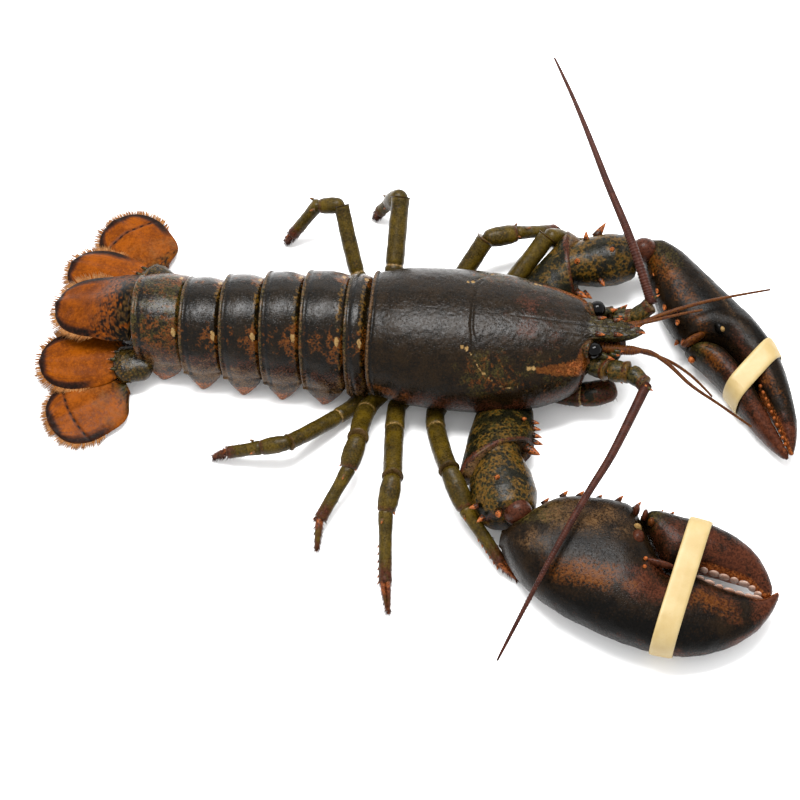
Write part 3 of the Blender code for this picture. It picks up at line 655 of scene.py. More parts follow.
def carapace():
    piece = Piece()
    columns = detail(150, 264)
    even = np.linspace(0, 360, columns, endpoint=False)
    # Columns crowd towards the back, where the beak needs them.
    degrees = even - 16.0 * np.sin(np.radians(2 * even - 180)) * np.where(even < 180, 1.0, 0.0)
    turn = np.radians(degrees)
    on_back = np.sin(turn) > 0
    off_line = np.abs(np.cos(turn)) * BEAK_EDGE[-1][0]
    front = np.where(on_back, smooth(BEAK_EDGE, off_line)[..., 0], FRONT)
    part = [np.linspace(0, 0.06, 16, endpoint=False), np.linspace(0.06, 1, detail(150, 250))]
    part = np.concatenate(part)
    x = part[:, None] * np.minimum(front, BEAK_START)[None]
    x = x + ease(part, 0.8, 1.0)[:, None] * np.maximum(front - BEAK_START, 0)[None]
    rings = on_carapace(x, degrees[None])
    lift, pale = carapace_relief(rings, x, turn)
    skin = rings + grid_normals(rings) * lift[..., None]
    rear_face, behind, ahead = carapace_rims(skin[0], skin[-1], front, off_line, on_back)
    xs, down = np.broadcast_arrays(x, np.abs(degrees[None] - 90))
    orbit = (bump(off_line, 9.0, 3.6) * on_back)[None]
    paints = framed(carapace_paints(skin, xs, down, part, orbit, pale), skin, len(behind), len(ahead))
    piece.tube([*behind, *skin, *ahead], rear_face, FRONT_MIDDLE, **paints)
    for root, way, length, radius in BEAK_SPINES:
        piece.thorn(root, way, length, radius, rust=(0.4, 0), coral=(0.1, 1.0))
    piece.finish("carapace_shell", "carapace_shell", "shell_dark", ["carapace"])


# ---------------------------------------------------------------- abdomen

# Each ring, first to sixth: rear X, front X, half width, back height, sideways place, X and
# height of the point of the side lobe.
ABDOMEN = [
    (-10.8, -0.8, 28, 42.6, 0.4, -5.6, 11), (-30.2, -10.8, 28.1, 44.2, 0.2, -21.5, 1.6),
    (-48.2, -30.2, 26.6, 43.2, -0.4, -40.5, 1.2), (-66.2, -48.2, 24.9, 40.6, -1.2, -58, 1.2),
    (-84.2, -66.2, 23.2, 37, -1.8, -76.5, 1.2), (-106, -84.2, 23.6, 34.6, 0.2, -95, 1.4),
]
# The underside of each side lobe: how far in from its edge, and how far up towards the belly.
LOBE_INSIDE = [(0.6, 0), (1.6, 0.25), (3.2, 0.7), (6, 1)]
LAST_RING_TAPER = 0.86
LEAN = 3.2
BELLY_LEVEL = 8.5
WALL_LEVEL = 15.0
OVERLAP = 3.0


def ring_paints(number, skin, distance, reach, width, middle, show):
    """The paints over a ring; distance runs from its rear edge, and show is 1 on its outside."""
    height = skin[..., 2]
    mottle, fine = rough(skin, 3.6, 30 + number), rough(skin, 1.8, 40 + number)
    strip = bump(distance, 0.7, 0.85)
    band = ease(distance, reach * 0.55, reach * 0.9)
    sides = bump(np.abs(skin[..., 1] - middle), width * 0.64, width * 0.26)
    amber = np.clip((0.3 + 0.5 * band) * sides * (0.62 + 1.3 * fine), 0, 0.75)
    olive = np.clip(0.42 * strip + 0.30 * band * (0.4 + mottle), 0, 0.7)
    hang = 1 - ease(height, 3.0, 14.0)
    rust = 0.8 * hang + 0.22 * mottle + 0.46 * bump(height, 19, 8)
    rust = np.clip(rust, 0, 1) * np.where(show > 0, 1, 0.6)
    low_side = bump(height, 15.0, 8.0)
    tan = np.maximum(0.42 * strip * (0.8 + 0.8 * fine), 0.6 * hang * (0.9 + 0.5 * mottle))
    tan = np.maximum(tan, 0.66 * low_side * (0.8 + 1.0 * mottle))
    on_back = height > WALL_LEVEL
    gold = np.clip(0.44 * bump(distance, reach - 2.2, 1.5) * (0.7 + 1.3 * fine), 0, 0.8) * on_back
    coral = 0.46 * (1 - ease(height, 4.0, 13.0)) * (0.9 + 0.6 * mottle)
    far = np.hypot(distance - (reach - 2.7), (np.abs(skin[..., 1] - middle) - width * 0.60) * 0.62)
    cream = (1 - ease(far + 0.4 * fine, 0.4, 1.3)) * on_back
    # Black in a band near the rear edge is the ring's own dark; black where its front slides under the ring
    # ahead is painted shade.
    soot = 0.55 * bump(distance, 3.4, 1.0) + 0.4 * ease(distance, reach - 0.8, reach + 0.8)
    if number == 6:
        amber = np.clip(amber * 0.6 + 0.16 + 0.3 * fine, 0, 0.5)
        olive = np.clip(olive + 0.3 + 0.4 * mottle, 0, 0.7)

    # Each with its weight on the hidden rings behind the skin; the black there is painted shade in the
    # recess inside the rear rim.
    return {
        "amber": (amber, 0.2, 0), "olive": (olive, 0, 0), "rust": (rust, 0.3, 0), "cream": (cream, 0, 0),
        "soot": (soot, 0.5, 0), "tan": (tan, 0, 0), "coral": (coral, 0, 0), "gold": (gold, 0, 0),
    }


def abdomen_ring(number, rear, front, width, top, middle, tip_x, tip_z):
    piece = Piece()
    reach = front - rear
    tip_at = (tip_x - rear) / reach
    notch = 14.0 if number > 1 else 13.0
    lobe_rows = [
        (0.0, notch), (tip_at * 0.4, notch * 0.66), (tip_at * 0.86, tip_z + 2.2), (tip_at, tip_z),
        (tip_at + 0.1, tip_z + 1.3), (tip_at + 0.34, notch * 0.56), (1.0, notch - 0.5), (1.3, notch),
    ]
    taper = LAST_RING_TAPER if number == 6 else 1.0
    along = np.linspace(0, 1 + OVERLAP / reach, detail(26, 52))
    low = smooth(lobe_rows, along)[..., 0]
    size = 1.0 - 0.045 * np.clip(along, 0, 1)
    size = size * (taper + (1 - taper) * np.clip(along, 0, 1))
    turn = np.linspace(0, math.pi, detail(60, 110))
    wall = np.linspace(0, 1, 15)[:-1]
    edge = (width * size)[:, None]
    x = (rear + along * reach)[:, None]
    peak = (top * (1.0 - 0.012 * np.clip(along, 0, 1)))[:, None]

    def level(y, z, lean):
        y, z, lean = np.broadcast_arrays(y, z, lean)
        return np.stack([np.broadcast_to(x, y.shape) + lean, middle + y, z], -1)

    low = low[:, None]
    rise = np.sin(turn)
    arc = level(edge * np.cos(turn), WALL_LEVEL + rise * (peak - WALL_LEVEL), LEAN * (1 - rise))
    flare = 0.9 * np.sin(wall * math.pi)
    left_wall = level(edge + flare * 0.6, low + (WALL_LEVEL - low) * wall, LEAN)
    falling = WALL_LEVEL + (low - WALL_LEVEL) * (1 - wall[::-1])
    right_wall = level(-(edge + flare[::-1] * 0.6), falling, LEAN)
    belly = BELLY_LEVEL + (2.5 if number == 1 else 0.0)
    inner = np.maximum(low + 2.5, belly)
    lobe = [(edge - cut, low * (1 - mixed) + inner * mixed) for cut, mixed in LOBE_INSIDE]
    flat = np.linspace(1, -1, 14)[1:-1]
    hidden = [level(-y, z, LEAN) for y, z in lobe]
    hidden += [level((edge - 6.0) * -f, belly + 0 * edge, LEAN) for f in flat]
    hidden += [level(y, z, LEAN) for y, z in reversed(lobe)]
    rings = np.concatenate([left_wall, arc, right_wall, *hidden], axis=1)
    outside = left_wall.shape[1] + arc.shape[1] + right_wall.shape[1]
    outward = grid_normals(rings)
    distance = (along * reach)[:, None]
    show = np.where(np.arange(rings.shape[1]) < outside, 1.0, 0.0)
    lift = 0.30 * bump(distance, 0.7, 0.6) - 0.24 * bump(distance, 2.0, 0.8)
    lift = lift + 1.0 * np.sin(math.pi * np.clip(distance / reach, 0, 1)) ** 2
    lift = lift - 1.7 * ease(distance, reach - 2.2, reach + 0.6)
    lift = lift + 0.10 * rough(rings, 3.0, number) + 0.05 * noise(rings, 0.9, number)
    rings = rings + outward * (lift * show)[..., None]
    close = rings[0].mean(0) + np.array([2.0, 0, 0])
    inward = unit(close - rings[0])
    rim, recess = rings[0] + inward * 0.8, rings[0] + inward * 1.4 + np.array([1.6, 0, 0])
    tail_rings = [recess * 0.5 + close * 0.5, recess, rim]
    paints = framed(ring_paints(number, rings, distance, reach, width, middle, show), rings, len(tail_rings))
    piece.tube([*tail_rings, *rings], close, **paints)
    piece.finish(f"tail_ring_{number}", "tail_shell", "shell_dark", [f"abdomen_{number}"])


# ---------------------------------------------------------------- tail fan

FAN_HINGE = np.array([-100.0, 1.0, 0.0])
FAN_YAW = math.radians(6.5)


def fan_point(back, out, z, side=LEFT):
    """A point of the tail fan: back from its hinge line, and out to one side."""
    rear = np.array([-math.cos(FAN_YAW), math.sin(FAN_YAW), 0.0])
    across = np.array([math.sin(FAN_YAW), math.cos(FAN_YAW), 0.0]) * side
    return FAN_HINGE + rear * back + across * out + np.array([0, 0, z])


# The blades of the tail fan: fraction of the length, half width and half thickness.
TELSON = [
    (0, 17.4, 2.6), (0.3, 18.6, 2.2), (0.6, 17.8, 1.6), (0.8, 15.4, 1.2), (0.91, 11.6, 1),
    (0.97, 7.6, 0.8), (1, 3, 0.6),
]
BLADE = [
    (0, 5.5, 1.6), (0.14, 11, 1.5), (0.36, 15.2, 1.2), (0.6, 16.4, 1), (0.8, 14.4, 0.8),
    (0.92, 10.6, 0.7), (0.98, 6.2, 0.6), (1, 2.6, 0.5),
]
OUTER_BLADE = [(part, width * 1.12 if part else 3.4, thick) for part, width, thick in BLADE]
# The line across the outer blades: how far along it meets their edges, how much it bows and its width.
SUTURE = 0.66
SUTURE_BOW = 0.07
SUTURE_WIDTH = 0.014
BLADE_POWER = 0.87
FRINGE = 2.5
BRISTLE_RADIUS = 0.23
BRISTLE_SUNK = 0.4


def blade_fringe(name, seed, edge, parts, centre, forward, up):
    """Bristles round the far margin of a blade, whose edge has these fractions of its length."""
    fringe = Piece()
    count = detail(340, 640)
    marks = np.concatenate([[0], np.cumsum(np.linalg.norm(np.diff(edge, axis=0), axis=1))])
    places = spread(count, 3 + seed) * marks[-1]
    roots, ahead, behind = (read_line(places + step, marks, edge) for step in (0.0, 0.4, -0.4))
    out = np.cross(unit(ahead - behind), up)
    out = out * np.where(((roots - centre) * out).sum(-1) < 0, -1, 1)[:, None]
    shown = np.interp(places, marks, parts)
    keep = shown > 0.42 + 0.1 * spread(count, 90 + seed)
    out = unit(out + 0.35 * forward + 0.18 * (spread(count * 3, 5 + seed).reshape(-1, 3) - 0.5))
    lengths = FRINGE * (0.95 + 1.0 * spread(count, 8 + seed) ** 1.5) * ease(shown, 0.38, 0.6)
    roots, out, lengths = roots[keep], out[keep], lengths[keep]
    fringe.hairs(roots - out * BRISTLE_SUNK, out, lengths + BRISTLE_SUNK, BRISTLE_RADIUS)
    fringe.finish(f"{name}_fringe", "bristle_tan", "tail_orange", [])


def blade(name, root, end, rows, slope, seed, ribs, crown=0.0):
    """A thin blade with a raised midrib, fanned lines, a dark rim and a fringe of bristles."""
    telson, sutured = name == "telson", name.startswith("uropod_outer")
    piece = Piece()
    axis = end - root
    length = np.linalg.norm(axis) - FRINGE
    forward = unit(axis)
    side, up = axes_across(forward)
    side = unit(side + up * slope)
    up = np.cross(forward, side)
    stations = detail(50, 90) // 2
    crowded = 1 - 0.2 * np.linspace(1, 0, stations) ** 1.6
    part = np.concatenate([np.linspace(0, 0.8, stations, endpoint=False), crowded])
    width, thick = np.moveaxis(smooth(rows, part), -1, 0)
    width = width * (1 - 0.11 * ease(part, 0.1, 0.5))
    middle = root + forward * (part * length)[:, None]
    half, at = width[:, None], part[:, None]
    across, lift = (grid[None] for grid in rounded(turns(detail(72, 120)), BLADE_POWER))
    top = np.clip(lift, 0, 1)
    body = np.exp(-((across / 0.34) ** 2))
    fan = np.cos(across * ribs * (1.0 + 0.25 * at)) * ease(at, 0.15, 0.5)
    rim = ease(np.abs(across), 0.80, 1.0) + ease(at, 0.90, 1.0)
    arch = -0.05 * (across * half) ** 2 / np.maximum(half, 1) * 2.0
    arch = arch + 0.35 * np.sin(across * 3.0 + seed) * at
    arch = arch + crown * (1 - ease(at, 0.0, 0.65)) * (1 - across**2)
    z = lift * thick[:, None] + top * (0.55 * body + 0.16 * fan * (1 - 0.8 * np.clip(rim, 0, 1))) + arch
    rings = middle[:, None] + side * (across * half)[..., None] + up * z[..., None]
    line = SUTURE + SUTURE_BOW * (1 - across**2)
    if sutured:
        rings = rings - up * (bump(at, line, SUTURE_WIDTH) * top * 0.45)[..., None]
    rings = rings + up * (top * 0.06 * noise(rings, 1.3, seed))[..., None]

    # Paints. Away is the distance from the margin.
    mottle, fleck = rough(rings, 4.0, 60 + seed), rough(rings, 0.9, 65 + seed)
    away = np.minimum((1 - np.abs(across)) * half, (1 - at) * length)
    outer_half = ease(at, 0.25, 0.6)
    dark = bump(away, 1.4, 2.2) * outer_half
    rooted = 1 - ease(at + 0.12 * mottle, 0.04, 0.26)
    speckled = (1 - ease(at, 0.15, 0.8)) * (0.7 if telson else 0.2)
    rays = ease(np.cos(across * ribs * 5 + 2 * at), 0.2, 0.9) * bump(away, 5.5, 4.5) * outer_half
    soot = np.clip(0.68 * dark + (0.35 * rooted + speckled) * (0.6 + 1.8 * fleck), 0, 1)
    rust = np.clip(0.92 * dark + 0.34 * rays + 0.2 * ease(away, 6, 12) * mottle, 0, 1)
    olive = (0.75 * rooted + 0.5 * speckled) * (0.8 + mottle)
    tan = 0.3 * speckled
    if telson:
        rust = np.maximum(rust, 0.36 + 0.3 * mottle)
    if sutured:
        tan = 0.34 * bump(at, 0.32, 0.26) * (0.9 + mottle)
        soot = np.maximum(soot, 0.95 * bump(at, line, SUTURE_WIDTH) * (0.7 + 0.6 * np.cos(across * 26)))
        rust = np.maximum(rust, 0.6 * bump(at, line, 0.03))
    piece.tube(rings, root, root + forward * (length + 0.2), soot=soot, olive=olive, rust=rust, tan=tan)
    piece.finish(f"{name}_blade", "fan_shell", "tail_orange", [name])

    sag = up * (-0.1 * half)
    edge = np.concatenate([middle + side * half + sag, (middle - side * half + sag)[::-1]])
    blade_fringe(name, seed, edge, np.concatenate([part, part[::-1]]), root + axis * 0.5, forward, up)


# The lump each uropod hangs on: its route as back, out and height, its radii, and its spines.
UROPOD_BASE = [(-7, 21.8, 9), (2, 21.8, 10), (11, 24.2, 9.4)]
UROPOD_BASE_SIZES = [(0, 3.2, 2.8), (0.18, 6.6, 4.6), (0.5, 9.6, 5.2), (0.8, 9.2, 4.8), (1, 7, 3.6)]
UROPOD_BASE_SPINES = [
    (9.8, 18.6, 12.5, 3.4), (10.6, 23, 13, 3.8), (9.4, 27.2, 12, 3.2), (4, 28.6, 11, 2.6),
]
# Each uropod's blades for the left side: root and end as back, out and height, rows, slope, seed and ribs.
UROPOD_BLADES = {
    "inner": ((5.5, 18.2, 11), (47.5, 27.5, 5), BLADE, 0.1, 2, 9),
    "outer": ((2.5, 31.8, 6), (34.5, 57.5, 2.2), OUTER_BLADE, 0.02, 5, 8),
}


def tail_fan():
    blade("telson", fan_point(4.4, 0.0, 24.2), fan_point(46.5, 0.5, 11.5), TELSON, 0.0, 1, 7.0, 6.0)
    tone = {"olive": 0.5, "gold": 0.3, "soot": 0.26}
    for side, word in WORD.items():
        for place, (root, end, rows, slope, seed, ribs) in UROPOD_BLADES.items():
            root, end = fan_point(*root, side), fan_point(*end, side)
            blade(f"uropod_{place}_{word}", root, end, rows, slope * side, seed + side, ribs)
        route = [fan_point(*place, side) for place in UROPOD_BASE]
        piece = Piece()
        limb_part(piece, route, UROPOD_BASE_SIZES, tone=tone, sides=64, seed=40, blunt=5.0, collar=0.35)
        for *place, length in UROPOD_BASE_SPINES:
            way = fan_point(1.0, 0.25, 0.15, side) - FAN_HINGE
            piece.thorn(fan_point(*place, side), way, length, 0.9, olive=(0.6, 0), coral=(-0.6, 1.0))
        piece.finish(f"uropod_base_{word}_shell", "tail_shell", "shell_olive", [f"uropod_base_{word}"])


# ---------------------------------------------------------------- limbs

def path(points):
    """Distances along a route and a function that reads its place and direction there."""
    points = floats(points)
    steps = np.linalg.norm(np.diff(points, axis=0), axis=1)
    ways = np.concatenate([[0], np.cumsum(steps)])
    if len(points) == 2:
        direction = unit(points[1] - points[0])
        return ways[-1], lambda at: (points[0] + direction * at[:, None], np.tile(direction, (len(at), 1)))
    rows = np.concatenate([ways[:, None], points], axis=1)
    fine = np.linspace(0, ways[-1], 65)
    places = smooth(rows, fine)
    headings = unit(np.gradient(places, axis=0))

    def read(at):
        inside = np.clip(at, 0, ways[-1])
        here, way = read_line(inside, fine, places), unit(read_line(inside, fine, headings))
        return here + way * (at - inside)[:, None], way

    return ways[-1], read


def swept(points, sizes, places, sides):
    """Oval rings along a route at given distances; sizes are rows of fraction, half width, half height."""
    whole, read = path(points)
    here, forward = read(places)
    side, up = axes_across(forward)
    sizes = np.array(sizes, float)
    width, height = (np.interp(places / whole, sizes[:, 0], sizes[:, k]) for k in (1, 2))
    turn = turns(sides)
    offset = (np.cos(turn) * width[:, None])[..., None] * side[:, None]
    offset = offset + (np.sin(turn) * height[:, None])[..., None] * up[:, None]
    return here, offset, forward


FEWEST_RINGS, MOST_RINGS = 24, 130
RINGS_EACH_MM = 1.8


def limb_part(
    piece, route, sizes, trims=(0.0, 0.0), neck=0.88, flare=0.08, tone=None, sides=28, seed=0, ring=0.0,
    slant=0.0, blunt=0.9, collar=0.5, lip=1.5,
):
    """One piece of a limb, from its socket to its collar; slant lets one side run ahead of the other."""
    whole, _ = path(route)
    start, stop = trims[0], whole - trims[1]
    count = int(np.clip((stop - start) * RINGS_EACH_MM, FEWEST_RINGS, MOST_RINGS))
    places = np.linspace(start, stop, count)
    here, offset, forward = swept(route, sizes, places, sides)
    from_start, to_end = places - start, stop - places
    scale = neck + (1 - neck) * ease(from_start, 0.6, 3.6)
    scale = scale * np.sqrt(np.clip(from_start / 1.6, 0.02, 1))
    scale = scale * (1 + flare * bump(to_end, 1.3, 1.3) - 0.4 * flare * bump(to_end, 3.6, 1.0))
    scale = scale * np.sqrt(np.clip((to_end + 0.05) / blunt, 0.05, 1))
    at = ring * whole
    if ring:
        scale = scale * (1 + 0.05 * bump(places, at - 1.4, 0.9) - 0.10 * bump(places, at, 0.7))
    lead = slant * ease(places / whole, 0.35, 1.0)[:, None] * np.cos(turns(sides))
    rings = here[:, None] + offset * scale[:, None, None] + forward[:, None] * lead[..., None]
    lumps = 0.14 * rough(rings, 3.0, 70 + seed) + 0.06 * noise(rings, 0.9, seed)
    rings = rings + unit(offset) * lumps[..., None]
    tone = tone or {}
    mottle, fleck = rough(rings, 5.0, 80 + seed), rough(rings, 1.2, 90 + seed)
    paint = {name: weight * (1 + 1.1 * mottle) for name, weight in tone.items() if name != "tip"}
    band = collar * bump(to_end, 0.7 + lip, lip)[:, None] * (0.9 + 0.4 * fleck)
    paint["rust"] = np.maximum(paint.get("rust", 0), band)
    paint["tan"] = collar * 1.1 * bump(to_end, 0.5, 0.7)[:, None] * (0.9 + 0.5 * fleck)
    if ring:
        paint["cream"] = 0.5 * bump(places, at - 0.2, 0.5)[:, None]
    if "tip" in tone:
        far = tone["tip"] * ease(places / whole, 0.45, 1.0)[:, None]
        paint["rust"] = np.maximum(paint["rust"], far * (0.8 + 0.6 * fleck))
    piece.tube(rings, here[0], here[-1], **paint)
    return here


# Each leg, first to fourth: root, hip, knee, cuff, wrist and tip.
LEGS = {
    RIGHT: [
        [
            (40, -16.5, 5.2), (32.5, -31, 6), (41.5, -66, 20), (51, -83, 14), (66.4, -101, 6),
            (76, -108, 1.4),
        ],
        [
            (25, -16.5, 5.2), (15, -30, 6), (17.5, -73, 22), (16, -89, 16), (18, -114, 6),
            (21, -129, 1.4),
        ],
        [
            (12.5, -16.5, 5.2), (2.5, -30, 6.5), (0.4, -54, 20), (-3, -68, 14), (-13, -87, 6),
            (-13, -102, 1.4),
        ],
        [
            (4, -15.5, 4.2), (-6, -31, 4.4), (-30, -56, 14), (-44, -58, 10), (-57, -59, 6),
            (-64, -60, 1.4),
        ],
    ],
    LEFT: [
        [(46, 16.5, 5.2), (57, 33, 7.4), (76, 58, 22), (89, 63, 10), (103, 67, 4), (112, 70, 1.4)],
        [(30, 16.5, 5.2), (36, 36, 7.4), (48, 54, 22), (63, 60, 20), (78, 70, 10), (83, 72.5, 1.4)],
        [
            (15, 16.5, 5.2), (7, 35, 7.4), (7.2, 71, 25), (1.5, 75.5, 12.5), (-3.2, 75, 5.5),
            (-5, 74, 1.4),
        ],
        [
            (4, 15.5, 4.2), (-7.5, 34, 5.5), (-19.5, 64, 25), (-31, 65, 21), (-42, 58, 6),
            (-45, 56.5, 1.4),
        ],
    ],
}
# The pieces of a limb: fraction of the length, half width and half height.
LEG_UPPER = [(0, 4, 4), (0.5, 4.3, 4.3), (0.85, 4.2, 4.2), (1, 4.5, 4.5)]
LEG_MIDDLE = [(0, 3.9, 3.9), (0.35, 4.7, 4.6), (0.7, 4.5, 4.4), (1, 3.5, 3.4)]
LEG_HAND = [(0, 3.3, 3.2), (0.3, 2.9, 2.9), (0.8, 2.9, 2.8), (1, 2.8, 2.7)]
LEG_CLAW = [(0, 2.3, 2.2), (0.3, 2, 2), (0.7, 1.4, 1.4), (1, 0.4, 0.4)]
REAR_SLIMMER = 0.84
PINCERS = (1, 2)
LEG_SIDES = 36
LEG_SPINES_AT = (0.4, 2.3, 4.4)
PRICKLES_AT = (0.42, 0.53, 0.64, 0.75, 0.86, 0.96)
# The bristles start here along the hand, and pass from the hand to its fingers there.
BRISTLES_FROM = 0.30
HAND_ENDS = 0.62


def slimmer(sizes, factor):
    return [[(part, width * factor, height * factor) for part, width, height in rows] for rows in sizes]


def leg_hand(side, number, seed, cuff, wrist, tip):
    """The last piece of a leg, with its one or two pointed fingers, prickles and bristles."""
    hand = Piece()
    pincer = number in PINCERS
    reach = wrist + (tip - wrist) * (0.16 if pincer else 0.1)
    tone = {"gold": 0.14, "olive": 0.26, "tan": 0.26, "soot": 0.18, "tip": 0.9}
    here = limb_part(hand, [cuff, reach], LEG_HAND, (-3.2, 0.0), 0.97, 0.05, tone, LEG_SIDES, seed + 5)
    heading = unit(tip - wrist)
    aside, up = axes_across(heading)
    narrow = 0.62 if pincer else 0.9
    claw_sizes = [(part, width * narrow, height * 0.95) for part, width, height in LEG_CLAW]
    tone = {"rust": 1.0, "coral": 0.3}
    for k, off in enumerate([1.0, -1.0] if pincer else [0.0]):
        start = wrist + aside * off - heading * 1.0
        end = tip + aside * off * 0.2 - heading * 1.4 * k
        bent = (start + end) / 2 + np.array([0, 0, 0.7]) + aside * off * 0.35
        limb_part(hand, [start, bent, end], claw_sizes, (0, 0), 1.0, 0.0, tone, 20, seed + 7, collar=0)
    for place in PRICKLES_AT:
        at = cuff + (reach - cuff) * place
        hand.thorn(at - aside * 2.3, heading - aside * 1.1, 2.2, 0.6, rust=(0.7, 0.5), coral=(0, 0.8))
    count = detail(140, 300)
    t = BRISTLES_FROM + 0.68 * np.maximum(spread(count, 20 + seed), spread(count, 21 + seed))
    t = t + 0.012 * np.sin(t * 90)
    on_hand = here[-1] + (here[0] - here[-1]) * (1 - t / HAND_ENDS)[:, None]
    on_tip = wrist + (tip - wrist) * ((t - HAND_ENDS) / (1 - HAND_ENDS))[:, None]
    spine = np.where((t < HAND_ENDS)[:, None], on_hand, on_tip)
    out = circle(spread(count, 31 + seed) * 2 * math.pi, aside, up)
    radius = np.interp(t, [0, HAND_ENDS, 1.0], [2.9, 2.5, 0.5])[:, None]
    lengths = 1.1 + 1.5 * spread(count, 44 + seed)
    hand.hairs(spine + out * radius * 0.85, unit(out + heading * 1.2), lengths, 0.17, rust=0.9)
    node = f"leg_{WORD[side]}_{number}_hand"
    hand.finish(f"{node}_shell", "leg_shell", "shell_olive", [node])


def leg(side, number, route):
    root, hip, knee, cuff, wrist, tip = np.array(route, float)
    seed = number + (10 if side == LEFT else 0)
    upper_sizes, middle_sizes = slimmer((LEG_UPPER, LEG_MIDDLE), REAR_SLIMMER if number == 4 else 1.0)
    tone = {"gold": 0.18, "olive": 0.3, "soot": 0.2}
    node = f"leg_{WORD[side]}_{number}"
    upper = Piece()
    route = [root, hip, knee]
    limb_part(upper, route, upper_sizes, (0, 0.2), 0.95, tone=tone, sides=LEG_SIDES, seed=seed, ring=0.46)
    upper.finish(f"{node}_upper_shell", "leg_shell", "shell_olive", [f"{node}_upper"])
    middle = Piece()
    route = [knee, cuff]
    limb_part(middle, route, middle_sizes, (-1.6, 0.2), 0.86, 0.03, tone, LEG_SIDES, seed + 3, blunt=2.0)
    for turn_at in LEG_SPINES_AT:
        outward = np.array([math.cos(turn_at), math.sin(turn_at), 0.5])
        way = outward + unit(cuff - knee) * 1.6
        middle.thorn(cuff + outward * 3.4, way, 2.0, 0.7, tan=(0.6, 0.2), coral=(0, 0.8))
    middle.finish(f"{node}_middle_shell", "leg_shell", "shell_olive", [f"{node}_middle"])
    leg_hand(side, number, seed, cuff, wrist, tip)


# Claw arms: root under the head, hip, knee, and the wrist where the claw begins.
ARMS = {
    RIGHT: [(56, -18.5, 7), (63.5, -31, 9.5), (61.5, -58, 15.5), (70, -88, 16)],
    LEFT: [(60, 18.5, 7), (73.5, 29.5, 10.5), (88.5, 46.5, 17.5), (118, 54, 18)],
}
ARM_UPPER = [(0, 5.5, 5), (0.3, 12.5, 7.5), (0.6, 14.5, 11), (0.85, 14.6, 12.4), (1, 14.4, 12.4)]
ARM_WRIST = [(0, 11.5, 10.5), (0.3, 14, 13), (0.6, 14.6, 13.6), (0.84, 12.4, 12.4), (1, 8.6, 9.5)]
LEFT_SLIMMER = 0.84
# How far one side of each upper arm's end runs ahead of the other.
ARM_SLANT = {RIGHT: -12, LEFT: 11}
# The rounded end of each wrist that turns in the claw: middle and radii.
CONDYLE = {RIGHT: ((72.6, -84.6, 21.5), (6.4, 6, 6.6)), LEFT: ((120, 54.6, 22), (6, 5.6, 6.2))}
# Spines of each upper arm, then of each wrist: root, direction, length and radius.
ARM_SPINES = {
    RIGHT: [
        [
            ((76.4, -35.5, 14), (1, -0.3, 0.2), 3, 1), ((76.9, -39, 14.5), (1, -0.3, 0.3), 3.4, 1.1),
            ((77.2, -42.5, 14.5), (1, -0.3, 0.2), 3.8, 1.2),
            ((77.6, -46, 15), (1, -0.4, 0.2), 4.2, 1.3), ((75.4, -51, 17), (0.9, -0.6, 0.3), 6.4, 2.1),
            ((72, -38, 20.5), (0.5, -0.3, 0.8), 2.4, 1),
        ],
        [
            ((62.7, -72.4, 28.2), (0.1, -0.3, 1), 2.6, 1.5),
            ((64.6, -88, 25), (0.1, -0.8, 0.6), 4, 1.7), ((54.6, -84, 22), (-0.9, -0.5, 0.3), 3.6, 1.3),
            ((57.6, -89, 21), (-0.7, -0.9, 0.3), 3.4, 1.3), ((75.6, -67, 20), (1, -0.2, 0.3), 2.6, 1.1),
        ],
    ],
    LEFT: [
        [
            ((92, 31, 18), (0.8, -0.6, 0.3), 5.4, 1.8), ((88.6, 27.4, 16), (0.8, -0.6, 0.2), 4.4, 1.4),
            ((95, 33.5, 14), (0.9, -0.6, 0), 4, 1.5), ((80, 51, 19), (0.1, 0.9, 0.4), 4, 1.4),
        ],
        [
            ((98.6, 61, 22.5), (0.55, 0.9, 0.35), 6.6, 1.9), ((93.4, 56, 25), (-0.1, 0.7, 0.8), 4, 1.4),
            ((90.2, 43.4, 25), (-0.1, -0.1, 1), 2.6, 1.8), ((105.4, 49, 28.2), (0, 0.1, 1), 2.4, 1.5),
            ((101.6, 37.4, 20), (0.5, -0.9, 0.2), 3.6, 1.4),
            ((110, 61.4, 20), (0.4, 0.9, 0.3), 3.4, 1.3),
        ],
    ],
}
SPINE_PAINT = {"rust": (0.3, 0.2), "coral": (0.12, 0.95)}
ARM_SIDES = 96


def arm(side):
    root, hip, knee, wrist = np.array(ARMS[side], float)
    upper_sizes, lower_sizes = slimmer((ARM_UPPER, ARM_WRIST), LEFT_SLIMMER if side == LEFT else 1.0)
    upper, lower = Piece(), Piece()
    tone = {"olive": 0.24, "gold": 0.2}
    limb_part(
        upper, [root, hip, knee], upper_sizes, (0, 0), 0.95, 0.05, tone, ARM_SIDES, 101 + side,
        slant=ARM_SLANT[side], blunt=1.8, collar=0.9, lip=2.6,
    )
    tone = {"olive": 0.22, "gold": 0.26}
    limb_part(
        lower, [knee, wrist], lower_sizes, (-9.0, 0.5), 0.7, 0.02, tone, ARM_SIDES, 111 + side,
        blunt=3.0, collar=0.3,
    )
    middle, radii = CONDYLE[side]
    lower.knob(middle, radii, rust=0.8, tan=0.1)
    for name, piece, spines in zip(("arm", "wrist"), (upper, lower), ARM_SPINES[side]):
        for place, way, length, radius in spines:
            piece.thorn(place, way, length, radius, **SPINE_PAINT)
        node = f"claw_{WORD[side]}_{name}"
        piece.finish(f"{node}_shell", "arm_shell", "shell_olive", [node])


